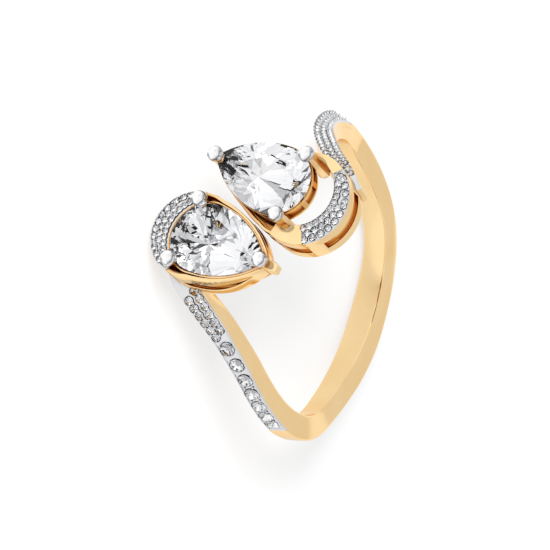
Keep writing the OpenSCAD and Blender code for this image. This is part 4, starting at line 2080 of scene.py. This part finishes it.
@dataclass
class Studio:
    """Floor, light and camera."""

    azimuth: float = 39.0744
    elevation: float = 60.2456
    roll: float = -46.0003
    focal_px: float = 4222.7
    distance: float = 259.54
    middle_px: tuple[float, float] = (311.134, 277.377)
    frame_px: float = 550.0
    card: tuple[float, float, float] = (0.86, 0.86, 0.87)
    front: tuple[float, float, float] = (0.22, -0.97, 0.0)
    lamp_place: tuple[float, float, float] = (-0.11, -0.38, 0.265)
    floor_half: float = 1.5
    sky: tuple[tuple[float, tuple[float, float, float]], ...] = (
        (0.0, (0.62, 0.62, 0.63)),
        (0.49, (0.80, 0.80, 0.81)),
        (0.56, (0.96, 0.96, 0.96)),
        (0.75, (0.95, 0.95, 0.95)),
        (1.0, (0.92, 0.92, 0.92)),
    )

    def axes(self) -> tuple[Points, Points, Points]:
        """Give the picture's axes in the worn ring's frame.

        Returns:
            The picture's right, its up and the way back to the camera.
        """
        a, e, t = (math.radians(x) for x in (self.azimuth, self.elevation, self.roll))
        right = np.array([math.cos(a), -math.sin(a), 0.0])
        up = np.array([math.sin(a) * math.sin(e), math.cos(a) * math.sin(e), math.cos(e)])
        back = np.array([-math.sin(a) * math.cos(e), -math.cos(a) * math.cos(e), math.sin(e)])
        c, s = math.cos(t), math.sin(t)
        return c * right + s * up, -s * right + c * up, back

    def camera(self) -> None:
        """Make the camera."""
        right, up, back = (LAY @ axis for axis in self.axes())
        data = bpy.data.cameras.new("camera")
        data.sensor_width = 36.0
        data.lens = self.focal_px / self.frame_px * data.sensor_width
        data.shift_x = 0.5 - self.middle_px[0] / self.frame_px
        data.shift_y = self.middle_px[1] / self.frame_px - 0.5
        data.clip_start, data.clip_end = 0.01, 10.0
        camera = bpy.data.objects.new("camera", data)
        turn = Matrix([right, up, back]).transposed().to_4x4()
        camera.matrix_world = Matrix.Translation(Vector(back * self.distance * MM)) @ turn
        bpy.context.scene.collection.objects.link(camera)
        bpy.context.scene.camera = camera

    def floor(self, wardrobe: Wardrobe, height: float) -> None:
        """Lay the floor.

        Args:
            wardrobe: Source of the materials.
            height: Height of its surface.
        """
        size = self.floor_half
        mesh = bpy.data.meshes.new("floor")
        corners = [(-size, -size), (size, -size), (size, size), (-size, size)]
        mesh.from_pydata([(x, y, height) for x, y in corners], [], [(0, 1, 2, 3)])
        mesh.materials.append(wardrobe.get(StudioFloor("studio_floor")))
        floor = bpy.data.objects.new("floor", mesh)
        bpy.context.scene.collection.objects.link(floor)
        floor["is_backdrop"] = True

    def world(self) -> None:
        """Light the surroundings: pale all round, and a little darker behind the ring."""
        world = bpy.data.worlds.new("surroundings")
        world.use_nodes = True
        bpy.context.scene.world = world
        graph = Graph(world.node_tree)
        where = graph.add("ShaderNodeTexCoord", output="Generated")
        height = graph.add("ShaderNodeSeparateXYZ", None, {0: where}, output=2)
        sky = graph.add("ShaderNodeValToRGB", {"stops": self.sky}, {0: height * 0.5 + 0.5})
        ahead = graph.along(where, self.front).clamped(-0.75, 0.1)
        sky = graph.blend(ahead, rgba(self.card), sky)
        background = graph.add("ShaderNodeBackground", None, {"Color": sky, "Strength": 1.0})
        graph.add("ShaderNodeOutputWorld", None, {"Surface": background})

    def lamp(
        self, name: str, place: Sequence[float], size: float, power: float, seen: bool = False
    ) -> None:
        """Hang a soft square lamp that faces the ring.

        Args:
            name: The lamp's name.
            place: Where it hangs.
            size: Its edge.
            power: Its power in watts.
            seen: Whether it shows in the stones and lights nothing else.
        """
        data = bpy.data.lights.new(name, "AREA")
        data.shape, data.size, data.energy = "SQUARE", size, power
        lamp = bpy.data.objects.new(name, data)
        lamp.location = place
        lamp.visible_glossy = False
        lamp.visible_transmission = seen
        lamp.visible_diffuse = not seen
        lamp.rotation_mode = "QUATERNION"
        lamp.rotation_quaternion = Vector(place).to_track_quat("Z", "Y")
        bpy.context.scene.collection.objects.link(lamp)

    def build(self, wardrobe: Wardrobe, height: float) -> None:
        """Build the studio round the ring.

        Args:
            wardrobe: Source of the materials.
            height: Height of the ring's lowest point.
        """
        bpy.context.scene.view_settings.view_transform = "Standard"
        self.camera()
        self.floor(wardrobe, height)
        self.world()
        self.lamp("key", self.lamp_place, size=0.18, power=4.6)
        self.lamp("glint", self.lamp_place, size=0.26, power=0.42, seen=True)


def main() -> None:
    """Build the ring and its studio."""
    logging.basicConfig(level=logging.INFO, format="%(name)s: %(message)s")
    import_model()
    low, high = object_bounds()
    floor_z = low.z
    wardrobe = Wardrobe()
    draw = random.Random(7)
    left, right, stones, arms = LeftHead(), RightHead(), PearStones(), Arms()

    loop, halo = right.crescent(), left.crescent()
    loop_cut = cylinder_cutter(
        "loop_cut", M.on_head(1, np.array([*loop.centre, 0.0])), loop.inner_r, M.loop_top
    )
    halo_middle = np.array([halo.centre[0], halo.centre[1] + halo.shift[1], 0.0])
    halo_cut = cylinder_cutter(
        "halo_cut", M.on_head(-1, halo_middle), halo.outer_r - 0.3, M.halo_top
    )
    cutters = [loop_cut, halo_cut]

    band = Band([arms.left_zone, arms.right_zone]).build(wardrobe, cutters)
    dress(band, "gold", "ring_frame")
    left_seats, right_seats = arms.left_seats(), arms.right_seats()
    loop_zone = (-148.0, -42.0)
    loop_seats = loop.seats(*loop_zone, rows=3, radius=0.2, edge=0.06)
    halo_seats = halo.seats(-148.0, -33.0, rows=3, radius=0.19, edge=0.02)
    loop_strip = (loop_zone[0] + 0.25, loop_zone[1] - 0.25)
    halo_strip = (-153.0, -27.0)
    loop_rows, halo_rows = 160, 170
    settings = [
        (arms.setting("arm_setting", arms.left_zone, left_seats, arms.left_pave), cutters),
        (arms.setting("ribbon_setting", arms.right_zone, right_seats, arms.right_pave), cutters),
        (loop.setting("loop_setting", loop.inner_r, loop_strip, loop_rows, loop_seats, 1.25), []),
        (halo.setting("halo_setting", left.halo_inner, halo_strip, halo_rows, halo_seats, 1.0), []),
    ]
    for setting, cuts in settings:
        dress(setting.build(wardrobe, cuts), "gold")
    fields = {
        "arm_stones": (left_seats, "arm_pave"),
        "ribbon_stones": (arms.leaning(right_seats, 1.0), "ribbon_pave"),
        "loop_stones": (loop_seats, "loop_pave"),
        "halo_stones": (halo_seats, "halo_pave"),
    }
    for name, (seats, node) in fields.items():
        shape = Shape()
        add_stones(shape, seats, draw)
        finishes = [CutDiamond("small_diamond"), Pavilion("small_pavilion")]
        piece = shape.build(name, [wardrobe.get(finish) for finish in finishes], None)
        dress(piece, "small_stones", node)
    dress(right.build(wardrobe, loop_zone), "gold")
    dress(left.build(wardrobe), "gold")
    dress(stones.stone(-1, wardrobe, "left_stone", draw), "pear_stone", "left_pear")
    dress(stones.stone(1, wardrobe, "right_stone", draw), "pear_stone", "right_pear")
    dress(stones.beads(left, wardrobe, "left_beads"), "gold")
    dress(stones.beads(right, wardrobe, "right_beads"), "gold")
    for cutter in cutters:
        bpy.data.objects.remove(cutter)

    Studio().build(wardrobe, min(floor_z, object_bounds()[0].z))
    low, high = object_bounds()


if __name__ == "__main__":
    main()
